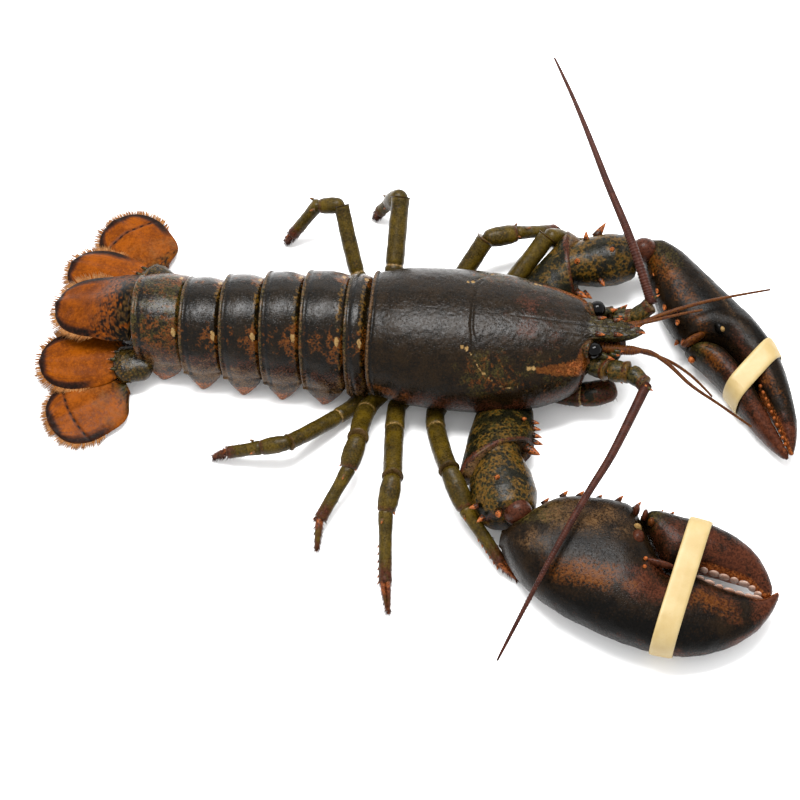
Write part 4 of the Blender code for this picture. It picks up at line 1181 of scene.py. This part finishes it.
# Claws, in their own frame: s runs from the wrist to the point, t to the left of that line.
# Rows are s, lower t, upper t, underside and top.
CLAW_ORIGIN = {RIGHT: np.array([69.0, -89.0, 0.0]), LEFT: np.array([122.0, 55.0, 0.0])}
CLAW_HEADING = {RIGHT: math.radians(-10.2), LEFT: math.radians(-53.8)}
CRUSHER_PALM = [
    (-1.5, -9.5, -3, 10, 20), (2.5, -14, 0.5, 5.5, 24.5), (9, -21, 9, 2.5, 28.5),
    (18, -27.5, 17.5, 0.9, 31), (32, -33.5, 21.5, 0.2, 32.5), (46, -37.2, 22.5, 0.2, 33),
    (51.5, -38.4, 20, 0.5, 32.8), (56, -39, 13.5, 0.9, 32.5), (62, -39.7, 5.5, 1.6, 31.5),
    (72, -40, -5.6, 2.8, 28.5), (84, -38.6, -2.7, 3, 26), (94, -34.8, -4, 3, 23.5),
    (103, -29, -4.2, 4.4, 21), (110, -22.4, -4.2, 6, 19), (114, -17.2, -2.6, 7.8, 17.5),
    (117, -11, 0.4, 9.6, 16.2), (118.8, -5.4, 1.8, 11, 15), (119.5, -2.2, 0.8, 12, 14),
]
CRUSHER_FINGER = [
    (54.5, 14, 17, 15, 24), (58.5, 11, 20.6, 9, 27.5), (64, 4.5, 21.8, 6, 29.2),
    (72, -3.4, 22.2, 4.2, 29.5), (79, -0.6, 22.6, 4, 28.8), (86, 1.6, 22.3, 4, 27.6),
    (95, 1.4, 20.6, 4.6, 25.4), (102, 1.3, 17.8, 5.6, 23.2), (107, 0.6, 14.6, 6.8, 21),
    (110.5, -1.7, 11.2, 7.8, 19.2), (113.6, -2.6, 7.2, 9, 17.6), (115.6, -1.6, 3.8, 10.4, 16),
    (116.4, 0.2, 1.8, 12, 14.2),
]
CUTTER_PALM = [
    (-5, -1, 5.5, 13, 22), (0, -2.5, 10.5, 8, 25), (8, -5, 14, 4, 26.5), (20, -9, 16.8, 0.8, 27),
    (34, -11.4, 19.2, 0.2, 27), (46, -11.6, 21.5, 0.5, 26.5), (51, -4, 22.2, 0.9, 26),
    (56, 2.2, 22.6, 1.4, 25.5), (66, 4, 22.6, 2.2, 24.5), (78, 4.8, 21, 2.3, 22.5),
    (90, 3.8, 17.4, 2, 19.5), (101, 2.6, 13, 3, 16.5), (108, 1.4, 9, 4.2, 14),
    (112.4, 0.4, 5.4, 5.6, 12), (115, 0, 2.6, 7, 10.6), (116, 0.4, 1.6, 8.4, 9.6),
]
CUTTER_FINGER = [
    (50, -12.6, -6, 9, 18), (53, -12.4, -2.6, 5.4, 21.5), (60, -10.4, 2.2, 3.2, 23),
    (72, -8.4, 3.4, 2.6, 22), (84, -7.8, 3.2, 2.6, 19.5), (95, -7, 2, 2.8, 16.5),
    (105, -5.6, 1, 3.4, 13.5), (111, -4.4, 0.2, 4.6, 11.6), (114.6, -3.4, -0.2, 5.8, 10.2),
    (116.2, -2.4, -1.2, 7.2, 8.8),
]
CLAW_POWER = 2 / 2.25
CLAW_ROWS = {RIGHT: (CRUSHER_PALM, CRUSHER_FINGER), LEFT: (CUTTER_PALM, CUTTER_FINGER)}


def claw_axes(side):
    heading = CLAW_HEADING[side]
    forward = np.array([math.cos(heading), math.sin(heading), 0.0])
    return forward, np.array([-forward[1], forward[0], 0.0])


def claw_point(side, s, t, z):
    forward, across = claw_axes(side)
    s, t, z = np.broadcast_arrays(*(floats(v) for v in (s, t, z)))
    s, t, z = s[..., None], t[..., None], z[..., None]
    return CLAW_ORIGIN[side] + forward * s + across * t + UP * z


def claw_rings(side, rows, count, sides):
    """Rings across a claw with the s and t of every point."""
    rows = np.array(rows, float)
    even = np.linspace(0, 1, count)
    part = 0.5 - 0.5 * np.cos(math.pi * (0.04 + 0.92 * even))
    part = (part - part[0]) / (part[-1] - part[0])
    s = rows[0, 0] + (rows[-1, 0] - rows[0, 0]) * part
    low, high, under, top = np.moveaxis(smooth(rows, s), -1, 0)
    across, lift = rounded(turns(sides), CLAW_POWER)
    t = ((low + high) / 2)[:, None] + ((high - low) / 2)[:, None] * across
    z = ((under + top) / 2)[:, None] + ((top - under) / 2)[:, None] * lift
    s = np.broadcast_to(s[:, None], t.shape)
    return claw_point(side, s, t, z), s, t


def claw_part(side, rows, seed, count, sides):
    """The skin of one finger of a claw, with its grain, and the s and t of every point."""
    rings, s, t = claw_rings(side, rows, detail(count // 2, count), detail(sides // 2, sides))
    lift = 0.22 * rough(rings, 7.0, seed) + 0.10 * noise(rings, 1.6, seed) + 0.04 * noise(rings, 0.8, seed)
    return rings + grid_normals(rings) * lift[..., None], s, t


# Painted patches of each claw: paint, weight, s, t and how far it reaches along s and across t.
PALM_PATCHES = {
    RIGHT: [
        # The two tan patches on the crusher's upper face are a painted sheen of the top light; the olive
        # patch by the wrist is green shell with painted sheen on it.
        ("olive", 0.66, 8, 6, 18, 9), ("tan", 0.56, 30, 6, 24, 10), ("tan", 0.36, 14, -9, 12, 8),
        ("soot", 0.5, 34, -9, 22, 5), ("amber", 0.58, 40, -20, 22, 6.5), ("rust", 0.62, 66, -19, 18, 8),
        ("soot", 0.9, 46, -36, 40, 7), ("soot", 0.36, 4, -16, 8, 8), ("rust", 0.6, 68, -7, 9, 4),
        ("rust", 0.42, 94, -14, 18, 10), ("amber", 0.42, 92, -16, 16, 7), ("soot", 0.8, 96, -34, 22, 7),
        ("rust", 0.95, 116, -4, 8, 12),
    ],
    LEFT: [
        ("amber", 0.52, 18, -1, 22, 6), ("soot", 0.5, 38, 6, 34, 5), ("amber", 0.3, 44, -3, 16, 5),
        # The thin tan line along the cutter's ridge is a painted highlight; the black beyond it is black
        # shell with painted shade where the outer face turns away.
        ("olive", 0.5, 8, 3, 14, 8), ("tan", 0.3, 42, 12.6, 28, 1.8), ("soot", 0.95, 44, 21, 54, 6),
        ("soot", 0.5, 50, 6, 14, 4), ("rust", 0.45, 72, 8, 20, 4), ("amber", 0.36, 84, 9, 20, 3),
        ("soot", 0.8, 92, 18, 14, 5), ("rust", 0.9, 108, 4, 9, 6),
    ],
}
FINGER_PATCHES = {
    RIGHT: [
        ("olive", 0.45, 60, 16, 8, 8), ("rust", 0.65, 82, 8, 24, 12), ("rust", 0.95, 104, 6, 16, 14),
        ("soot", 0.35, 88, 19, 16, 4),
    ],
    LEFT: [
        ("olive", 0.5, 54, -7, 7, 8), ("amber", 0.5, 62, -6, 9, 4), ("rust", 0.55, 80, -3, 20, 5),
        ("rust", 0.95, 104, -3, 18, 7), ("coral", 0.2, 114, -2, 5, 5),
    ],
}
# Spines on each claw's edge: s, t, height, then the way it points, its length and radius.
CLAW_SPINES = {
    RIGHT: [
        (12.7, 13, 20, 0.5, 1, 0.1, 3.4, 1.2), (19.6, 18.4, 20, 0.5, 1, 0.1, 3.6, 1.3),
        (26.4, 20.3, 20, 0.5, 1, 0.1, 3.4, 1.3), (34.9, 21.8, 20, 0.6, 1, 0.1, 2.2, 1.1),
        (43.2, 22.6, 20, 0.5, 1, 0.1, 3.6, 1.3), (51.6, 20.4, 22, 0.4, 1, 0.1, 3.6, 1.4),
        (62.2, 20.2, 22, 0.4, 1, 0.2, 2.6, 1.1), (66.8, 21, 22, 0.5, 1, 0.2, 2.4, 1),
    ],
    LEFT: [
        (4, 0.2, 21, 0.6, -0.8, 0.5, 3.4, 1.3), (10.6, -3.2, 20, 0.7, -0.8, 0.5, 3.6, 1.4),
        (18.6, -6.4, 19, 0.7, -0.8, 0.5, 4.2, 1.5), (27.6, -8.6, 19, 0.7, -0.8, 0.5, 4.4, 1.5),
        (34, -7, 23, 0.7, -0.5, 0.8, 3.4, 1.2), (38.4, -9.4, 21, 0.7, -0.7, 0.5, 3.6, 1.3),
        (46.4, -11, 17, 0.6, -0.9, 0.3, 3.6, 1.4), (43, -11.4, 12, 0.4, -1, 0.1, 3, 1.3),
    ],
}
# Lumps of each claw's hinge and its beads: s, t, height, radii along and across, height, then two paints.
CLAW_KNOBS = {
    RIGHT: [
        (52.2, 16.6, 27, 1.5, 2.6, 3.6, "rust", "rust"),
        (56.2, 15.4, 26.6, 1.3, 2.6, 3.6, "rust", "rust"),
        (59.6, 12.6, 27.4, 1.5, 2, 2.4, "rust", "amber"), (54.4, 8, 27.6, 2, 1.7, 3.2, "cream", "tan"),
        (55.6, 3, 29, 2.9, 3.6, 3.2, "rust", "rust"), (61.3, -7, 31.4, 0.9, 0.9, 0.9, "coral", "coral"),
        (61.8, -10.8, 31.4, 0.9, 0.9, 0.9, "coral", "coral"),
        (67, -6.4, 28.6, 7.5, 1.5, 2.4, "rust", "rust"),
    ],
    LEFT: [
        (49.6, -8.4, 20.5, 1.7, 6.6, 3.4, "rust", "amber"),
        (51.6, 3.4, 23.4, 3.4, 2, 3, "soot", "olive"), (53.6, 3.8, 25, 1.3, 1.1, 1.4, "cream", "cream"),
        (55, -12.4, 14, 1.6, 1.6, 1.6, "coral", "coral"),
    ],
}
# The teeth: s and t, first on the fixed finger and then on the one that moves.
FIRST_TOOTH = 84
PALM_TEETH = {
    RIGHT: [(85, -2.9), (89.5, -3.4), (94, -4), (98.5, -4.2), (103, -4.2), (107, -4.1), (110.4, -3.6)],
    LEFT: [(s, 4.4 - 0.16 * (s - FIRST_TOOTH)) for s in range(FIRST_TOOTH, 112, 3)],
}
FINGER_TEETH = {
    RIGHT: [(86, 1.8), (90.5, 1.7), (95, 1.5), (99.5, 1.5), (104, 1.2), (108, 0.2), (111, -1.6)],
    LEFT: [],
}
TOOTH_RADII = {RIGHT: (2.3, 0.9, 2.6), LEFT: (0.8, 0.7, 1.2)}
# Height of the first tooth, and how much each next millimetre lowers them.
TOOTH_HEIGHT = {RIGHT: (17, 0.13), LEFT: (18.6, 0.27)}
TOOTH_CORAL = {RIGHT: 0.2, LEFT: 1}
TOOTH_SIDES = 20
# The biting edges are coral from here on along the claw.
BITE_STARTS = (80, 88)


def patches(s, t, rows, fleck):
    """Weights of the paints that soft patches give over a claw."""
    weights = {name: np.zeros(s.shape) for name in PAINTS}
    for name, weight, along, across, reach, spread_out in rows:
        spot = weight * np.exp(-((s - along) / reach) ** 2 - ((t - across) / spread_out) ** 2)
        weights[name] = np.maximum(weights[name], spot * (1 + 0.8 * fleck))
    return weights


def claw_teeth(side, axes):
    """The teeth of both fingers: pale lumps on the crusher, small orange beads on the cutter."""
    piece = Piece()
    top, fall = TOOTH_HEIGHT[side]
    for number, (s, t) in enumerate(PALM_TEETH[side] + FINGER_TEETH[side]):
        along, across, high = TOOTH_RADII[side]
        radii = (along * (1 + 0.16 * math.sin(2.4 * number)), across, high)
        place = claw_point(side, s, t, top - fall * (s - FIRST_TOOTH))
        piece.knob(place, radii, axes, TOOTH_SIDES, coral=TOOTH_CORAL[side])
    piece.finish(f"claw_{WORD[side]}_teeth", "tooth_ivory", "claw_dark", [])


def claw(side):
    palm_rows, finger_rows = CLAW_ROWS[side]
    axes = (*claw_axes(side), UP)
    seed, crusher = (120, True) if side == RIGHT else (140, False)
    node = f"claw_{WORD[side]}"
    palm = Piece()
    rings, s, t = claw_part(side, palm_rows, seed, 150, 96)
    paint = patches(s, t, PALM_PATCHES[side], rough(rings, 4.0, seed + 1))
    low, high = t.min(1, keepdims=True), t.max(1, keepdims=True)
    outer, inner, reach = (low, high, 1.6) if crusher else (high, low, 1.2)
    paint["rust"] = np.maximum(paint["rust"], 0.7 * bump(t, outer, 0.9) * ease(s, 20, 40))
    paint["coral"] = np.maximum(paint["coral"], 0.6 * bump(t, inner, reach) * ease(s, *BITE_STARTS))
    palm.tube(rings, **paint)
    for s, t, z, *way, length, radius in CLAW_SPINES[side]:
        palm.thorn(claw_point(side, s, t, z), np.array(way) @ axes, length, radius, **SPINE_PAINT)
    for s, t, z, *radii, first, second in CLAW_KNOBS[side]:
        palm.knob(claw_point(side, s, t, z), radii, axes, 24, **{second: 0.45, first: 0.85})
    palm.finish(f"{node}_palm_shell", "claw_shell", "claw_dark", [f"{node}_palm"])
    finger = Piece()
    rings, s, t = claw_part(side, finger_rows, seed + 5, 120, 80)
    paint = patches(s, t, FINGER_PATCHES[side], rough(rings, 4.0, seed + 6))
    if crusher:
        biting = bump(t, t.min(1, keepdims=True), 1.5)
        paint["coral"] = np.maximum(paint["coral"], 0.6 * biting * ease(s, *BITE_STARTS))
    finger.tube(rings, **paint)
    finger.finish(f"{node}_finger_shell", "claw_shell", "claw_dark", [f"{node}_finger"])
    claw_teeth(side, axes)


# ---------------------------------------------------------------- bands

BAND_MIDDLE = {RIGHT: 78.9, LEFT: 77.6}
BAND_SKEW = {RIGHT: 0.05, LEFT: -0.3}
BAND_HALF_WIDTH = 5.1
BAND_THICK = 0.9
BAND_CLEARANCE = 0.1
BAND_SIDES = 120
# Its edges are this much narrower and thinner than the rest, and it rests on what is this near.
BAND_EDGE_IN = 0.12
BAND_EDGE_THIN = 0.3
BAND_NEAR = 0.9


def band(side):
    """A stretched rubber band: it touches the claw where that stands out, and spans the rest."""
    piece = Piece()
    forward, across = claw_axes(side)
    skew = BAND_SKEW[side]
    angles = turns(BAND_SIDES)
    step = angles[1]
    grids = [claw_rings(side, rows, 160, 72)[0] - CLAW_ORIGIN[side] for rows in CLAW_ROWS[side]]
    offsets = np.linspace(-1, 1, 9)
    rings = []
    for off, outer in [(off, True) for off in offsets] + [(off, False) for off in offsets[::-1]]:
        at_edge = abs(off) == 1
        shrink = BAND_EDGE_THIN * BAND_THICK * at_edge
        middle = BAND_MIDDLE[side] + off * (BAND_HALF_WIDTH - BAND_EDGE_IN * at_edge)
        reach = np.full(len(angles), -np.inf)
        for grid in grids:
            close = grid[np.abs(grid @ forward - skew * (grid @ across) - middle) < BAND_NEAR]
            support = np.cos(angles)[:, None] * (close @ across) + np.sin(angles)[:, None] * close[:, 2]
            reach = np.maximum(reach, support.max(1))
        reach = reach + BAND_CLEARANCE + (BAND_THICK - shrink if outer else shrink)
        ahead = np.roll(reach, -1)
        t = (reach * np.sin(angles + step) - ahead * np.sin(angles)) / math.sin(step)
        z = (ahead * np.cos(angles) - reach * np.cos(angles + step)) / math.sin(step)
        rings.append(claw_point(side, middle + skew * t, t, z))
    piece.hoop(rings)
    node = f"claw_{WORD[side]}_band"
    piece.finish(f"{node}_rubber", "band_rubber", "band_cream", [node])


# ---------------------------------------------------------------- head and belly

# For the left side: the root of the eye's stalk and the middle of its ball.
EYE = [(94, 8.6, 36.9), (100.4, 10.7, 38.2)]
EYE_RADIUS = 3.75
EYE_FLATTER = 0.95
# The stalk's rings: place along its heading from the middle of the ball, and radius.
STALK = [(-7, 2.4), (-5.2, 3), (-4, 3.7), (-3.1, 4.1), (-2.4, 4.15), (-1.9, 3.9), (-1.6, 3.5)]
ANTENNA_BASE = {
    RIGHT: [(100.5, -12, 29), (108, -16, 31), (117, -17.5, 33.5), (124, -24, 34.5)],
    LEFT: [(100.5, 13.5, 26.5), (108.5, 13, 28), (116.8, 12.4, 29.2), (124.3, 17.4, 35.5)],
}
ANTENNA = {
    RIGHT: [(124, -24, 34.5), (111, -62, 39), (102.5, -81, 40), (88, -113, 35.5), (69.3, -151, 12)],
    LEFT: [(124.3, 17.4, 35.5), (113, 45, 43.5), (98, 81.5, 44), (83.5, 122.5, 38), (72.2, 152.7, 31)],
}
# Each antennule's long lash with its stem, then the short lash that branches from it.
ANTENNULE = {
    RIGHT: [
        [
            (99.3, -5, 32), (113, -6, 33), (122.5, -5.6, 33), (132, -9.2, 31), (144, -17, 26),
            (157.5, -22.3, 20), (172.5, -27.5, 12),
        ],
        [(119, -5.8, 33), (132, -7, 29.5), (143.5, -11.2, 25), (154, -18.5, 20)],
    ],
    LEFT: [
        [
            (99.3, 4.6, 32.5), (110, 4.2, 33.6), (119.5, 7.6, 34), (128, 12.6, 34), (145.5, 21.5, 33),
            (161, 27.5, 32), (177, 33, 31),
        ],
        [(117, 6.8, 34), (126, 9.6, 34.6), (135, 13.5, 34), (147, 17.5, 34)],
    ],
}
MAXILLIPED = [(69.3, 5.4, 6.5), (76, 9.5, 6.5), (86, 15, 8), (100, 17, 11), (112, 14.5, 14)]
ANTENNA_BASE_RADII = [5.2, 5, 4.5, 3.3]
ANTENNA_SIZES = [(0, 2.7, 2.7), (0.06, 2.3, 2.3), (0.5, 1.6, 1.6), (0.85, 0.95, 0.95), (1, 0.45, 0.45)]
ANTENNULE_SIZES = [(0, 3, 2.6), (0.22, 2.3, 2), (0.27, 1.15, 1.15), (1, 0.5, 0.5)]
BRANCH_SIZES = [(0, 1, 1), (1, 0.5, 0.5)]
MAXILLIPED_SIZES = [(0, 3.4, 3.4), (0.4, 5.6, 5), (0.8, 6, 4.8), (1, 4.6, 3.8)]
# The face between the eyes and the mouth: X, half width, underside and top.
FACE = [
    (88, 12, 20, 33), (95, 14.6, 18, 35.5), (102, 14, 20, 35.2), (107, 12, 23, 34.4),
    (111, 9.6, 26, 33.6), (114, 7, 28, 33),
]
# Spines of the face for the left side, mirrored for the right: root, direction, length and radius.
FACE_SPINES = [
    ((102.5, 10.8, 35), (1, 0.34, 0.12), 7.6, 2), ((105, 13.2, 32), (1, 0.5, 0), 5.4, 1.8),
    ((108.6, 9.6, 34), (1, 0.2, 0.3), 3.4, 1.3), ((110.2, 7.6, 33.8), (1, 0.1, 0.3), 3.2, 1.2),
    ((110, 15.6, 29), (0.7, 0.9, -0.1), 6.5, 1.8),
]


def lash(piece, route, sizes, pitch, sides, **tone):
    """A feeler with a fine ring for every pitch along it."""
    whole, _ = path(route)
    places = np.linspace(0, whole, int(whole / pitch * detail(3, 5)))
    here, offset, _ = swept(route, sizes, places, sides)
    phase = (places / pitch) % 1.0
    groove = 1.0 - 0.16 * bump(np.minimum(phase, 1 - phase), 0, 0.2)
    blunt = np.sqrt(np.clip(whole - places + 0.05, 0.1, 1))
    blunt = blunt * np.sqrt(np.clip((places + 0.1) / 0.8, 0.3, 1))
    rings = here[:, None] + offset * (groove * blunt)[:, None, None]
    piece.tube(rings, here[0], here[-1], **tone)


def mirrored(route, side):
    """A route of the left side, or its mirror image on the right."""
    return np.array(route, float) * (1, side, 1)


def eye(side):
    start, ball = mirrored(EYE, side)
    heading = unit(ball - start)
    around = circle(turns(56), *axes_across(heading))
    lean = np.linspace(0.02, math.pi - 0.02, 40)
    profile = [(-math.cos(a) * EYE_FLATTER, math.sin(a)) for a in lean]
    piece = Piece()
    rings = [ball + heading * EYE_RADIUS * along + around * EYE_RADIUS * size for along, size in profile]
    piece.tube(rings)
    piece.finish(f"eye_{WORD[side]}_ball", "eye_gloss", "eye_black", [f"eye_{WORD[side]}"])
    stalk = Piece()
    rings = [ball + heading * along + around * size for along, size in STALK]
    stalk.tube(rings, tan=0.22, rust=0.3, olive=0.35)
    stalk.finish(f"eye_{WORD[side]}_stalk", "arm_shell", "shell_olive", [])


def antenna_base(side):
    base = Piece()
    route = np.array(ANTENNA_BASE[side], float)
    tone = {"gold": 0.2, "olive": 0.5, "soot": 0.12}
    for k, (root, tip) in enumerate(zip(route, route[1:])):
        sizes = [(end, ANTENNA_BASE_RADII[k + end], ANTENNA_BASE_RADII[k + end]) for end in (0, 1)]
        trims = (-1.4 if k else -3.0, 0.0)
        limb_part(base, [root, tip], sizes, trims, 0.86, 0.10, tone, 36, 160 + k)
        for turn_at, reach in ((0.6, 3.2), (-1.2, 2.6)):
            outward = np.array([math.sin(turn_at) * 0.5, side * math.cos(turn_at), 0.5])
            place = tip + outward * ANTENNA_BASE_RADII[k + 1] * 0.8
            base.thorn(place, outward + (0.9, 0, 0), reach, 0.9, olive=(0.6, 0), coral=(-0.6, 1.1))
    node = f"antenna_base_{WORD[side]}"
    base.finish(f"{node}_shell", "arm_shell", "feeler_red", [node])


def feelers(side):
    word = WORD[side]
    piece = Piece()
    lash(piece, ANTENNA[side], ANTENNA_SIZES, 1.15, 16)
    piece.finish(f"antenna_{word}_lash", "feeler_shell", "feeler_red", [f"antenna_{word}"])
    piece = Piece()
    for route, sizes, sides in zip(ANTENNULE[side], (ANTENNULE_SIZES, BRANCH_SIZES), (14, 10)):
        lash(piece, route, sizes, 1.0, sides, rust=0.6, amber=0.46)
    piece.finish(f"antennule_{word}_lash", "feeler_shell", "feeler_red", [f"antennule_{word}"])


def maxilliped(side):
    """An outer mouthpart, with bristles along it."""
    piece = Piece()
    tone = {"rust": 0.36, "olive": 0.36, "soot": 0.1}
    route = mirrored(MAXILLIPED, side)
    here = limb_part(piece, route, MAXILLIPED_SIZES, (0, 0), 0.9, 0.0, tone, 40, 170, 0.66, blunt=4.5)
    count = detail(120, 320)
    roots = read_line(spread(count, 71 + side, 0.25, 0.9), np.linspace(0, 1, len(here)), here)
    out = [spread(count, 73, -0.2, 0.9), side * spread(count, 74, 0.1, 1), spread(count, 75, -1, 0.8)]
    out = np.stack(out, -1)
    piece.hairs(roots + unit(out) * 3.6, out, spread(count, 76, 1.6, 3.2), 0.14, rust=0.6, tan=0.4)
    node = f"maxilliped_{WORD[side]}"
    piece.finish(f"{node}_shell", "arm_shell", "shell_olive", [node])


def face():
    """The lumpy front below the beak that carries the feelers."""
    piece = Piece()
    x = np.linspace(FACE[0][0], FACE[-1][0], 60)
    width, low, high = np.moveaxis(smooth(FACE, x), -1, 0)
    turn = turns(96)
    end = np.sqrt(np.clip((FACE[-1][0] - x + 0.2) / 3.0, 0.05, 1))[:, None]
    y = np.cos(turn) * width[:, None] * end
    z = (low + high)[:, None] / 2 + np.sin(turn) * (high - low)[:, None] / 2 * end
    rings = np.stack([np.broadcast_to(x[:, None], y.shape), y, z], -1)
    lift = 0.9 * noise(rings, 4.2, 21) + 0.4 * noise(rings, 2.0, 22) + 0.15 * noise(rings, 0.9, 23)
    rings = rings + grid_normals(rings) * lift[..., None]
    fleck = rough(rings, 2.6, 24)
    middle = bump(y, 0, 6.5) * ease(x, 98, 104)[:, None]
    paints = {"olive": 0.3 + 0.3 * fleck, "soot": 0.3 - 0.3 * fleck, "amber": 0.15 + 0.2 * fleck}
    piece.tube(rings, rust=0.8 * middle, **paints)
    for side in WORD:
        for *line, length, radius in FACE_SPINES:
            piece.thorn(*mirrored(line, side), length, radius, olive=(0.6, 0.1), coral=(-0.8, 1.1))
    piece.finish("face_shell", "arm_shell", "shell_olive", [])


# The breastplate: X, half width and top.
STERNUM = [(2, 8, 10.6), (7, 12, 11), (56, 12, 11), (68, 7, 12)]
STERNUM_MIDDLE = 5.5
STERNUM_FLOOR = 0.9
STERNUM_RIB = 0.6
RIB_PITCH = 13.2


def sternum():
    piece = Piece()
    x = np.linspace(STERNUM[0][0], STERNUM[-1][0], 80)
    width, top = np.moveaxis(smooth(STERNUM, x)[:, None], -1, 0)
    across, lift = rounded(turns(64), 0.6)
    low = STERNUM_FLOOR + STERNUM_RIB * np.cos(x / RIB_PITCH * 2 * math.pi)[:, None]
    z = STERNUM_MIDDLE + lift * np.where(lift > 0, top - 1.5, STERNUM_MIDDLE - low)
    piece.tube(np.stack([over(x[:, None], z.shape), across * width, z], -1), rust=0.3)
    piece.finish("belly_plate", "belly_shell", "shell_belly", ["sternum"])


# ---------------------------------------------------------------- scene

CAMERA_LENS = 120.0
CAMERA_SENSOR = 36.0
CAMERA_SEES = 10.0
CAMERA_DISTANCE = 1.2
CAMERA_UP = math.radians(60.0)
CAMERA_AROUND = math.radians(5.5)
# The point on the ground that the camera looks at, in the animal's frame.
LOOK_AT = np.array([15.8, -21.83, 0.0])
# Each softbox: its place and size in metres, and its power in watts.
SOFTBOXES = {
    "top_softbox": ((-0.1, 0.26, 1.3), (0.9, 0.42), 44),
    "far_softbox": ((0, 1.35, 0.6), (1.4, 0.4), 3.5),
}
SKY_STRENGTH = 1.5
PAPER_GREYS = (0.88, 0.91)
FLOOR_HALF = 3.0
FLOOR_LEVEL = -0.0002


def aim(made, place, away):
    """Put a camera or light here, turned to look along the reverse of away."""
    made.location = place
    made.rotation_euler = (-Vector(away)).to_track_quat("-Z", "Y").to_euler()


def camera():
    data = bpy.data.cameras.new("camera")
    data.lens, data.sensor_width = CAMERA_LENS, CAMERA_SENSOR
    data.clip_end = CAMERA_SEES
    made = new_object("camera", data)
    level = math.cos(CAMERA_UP)
    away = (math.sin(CAMERA_AROUND) * level, -math.cos(CAMERA_AROUND) * level, math.sin(CAMERA_UP))
    aim(made, Vector(LOOK_AT * MM + HOME) + Vector(away) * CAMERA_DISTANCE, away)
    bpy.context.scene.camera = made


def softbox(name, place, size, power):
    data = bpy.data.lights.new(name, "AREA")
    data.shape = "RECTANGLE"
    data.size, data.size_y = size
    data.energy = power
    aim(new_object(name, data), place, away=place)


def studio():
    for name, box in SOFTBOXES.items():
        softbox(name, *box)
    world = bpy.data.worlds.new("studio")
    world.use_nodes = True
    sky = world.node_tree.nodes["Background"].inputs
    sky["Color"].default_value = (1.0, 1.0, 1.0, 1.0)
    sky["Strength"].default_value = SKY_STRENGTH
    bpy.context.scene.world = world
    bpy.context.scene.view_settings.view_transform = "Standard"
    n = Nodes("floor_paper")
    paper = n.mix(n.noise(40.0, 2.0), *((grey, grey, grey, 1.0) for grey in PAPER_GREYS))
    mesh = bpy.data.meshes.new("floor")
    corners = ((-1, -1), (1, -1), (1, 1), (-1, 1))
    corners = [(x * FLOOR_HALF, y * FLOOR_HALF, FLOOR_LEVEL) for x, y in corners]
    mesh.from_pydata(corners, [], [(0, 1, 2, 3)])
    mesh.materials.append(n.shade({"Base Color": paper, "Roughness": 0.9, "Specular IOR Level": 0.1}))
    new_object("floor", mesh)


camera()
studio()
carapace()
for number, row in enumerate(ABDOMEN, 1):
    abdomen_ring(number, *row)
tail_fan()
for side, routes in LEGS.items():
    for number, route in enumerate(routes, 1):
        leg(side, number, route)
for builders in ((arm, claw, band), (eye, antenna_base, feelers, maxilliped)):
    for side in WORD:
        for build in builders:
            build(side)
face()
sternum()
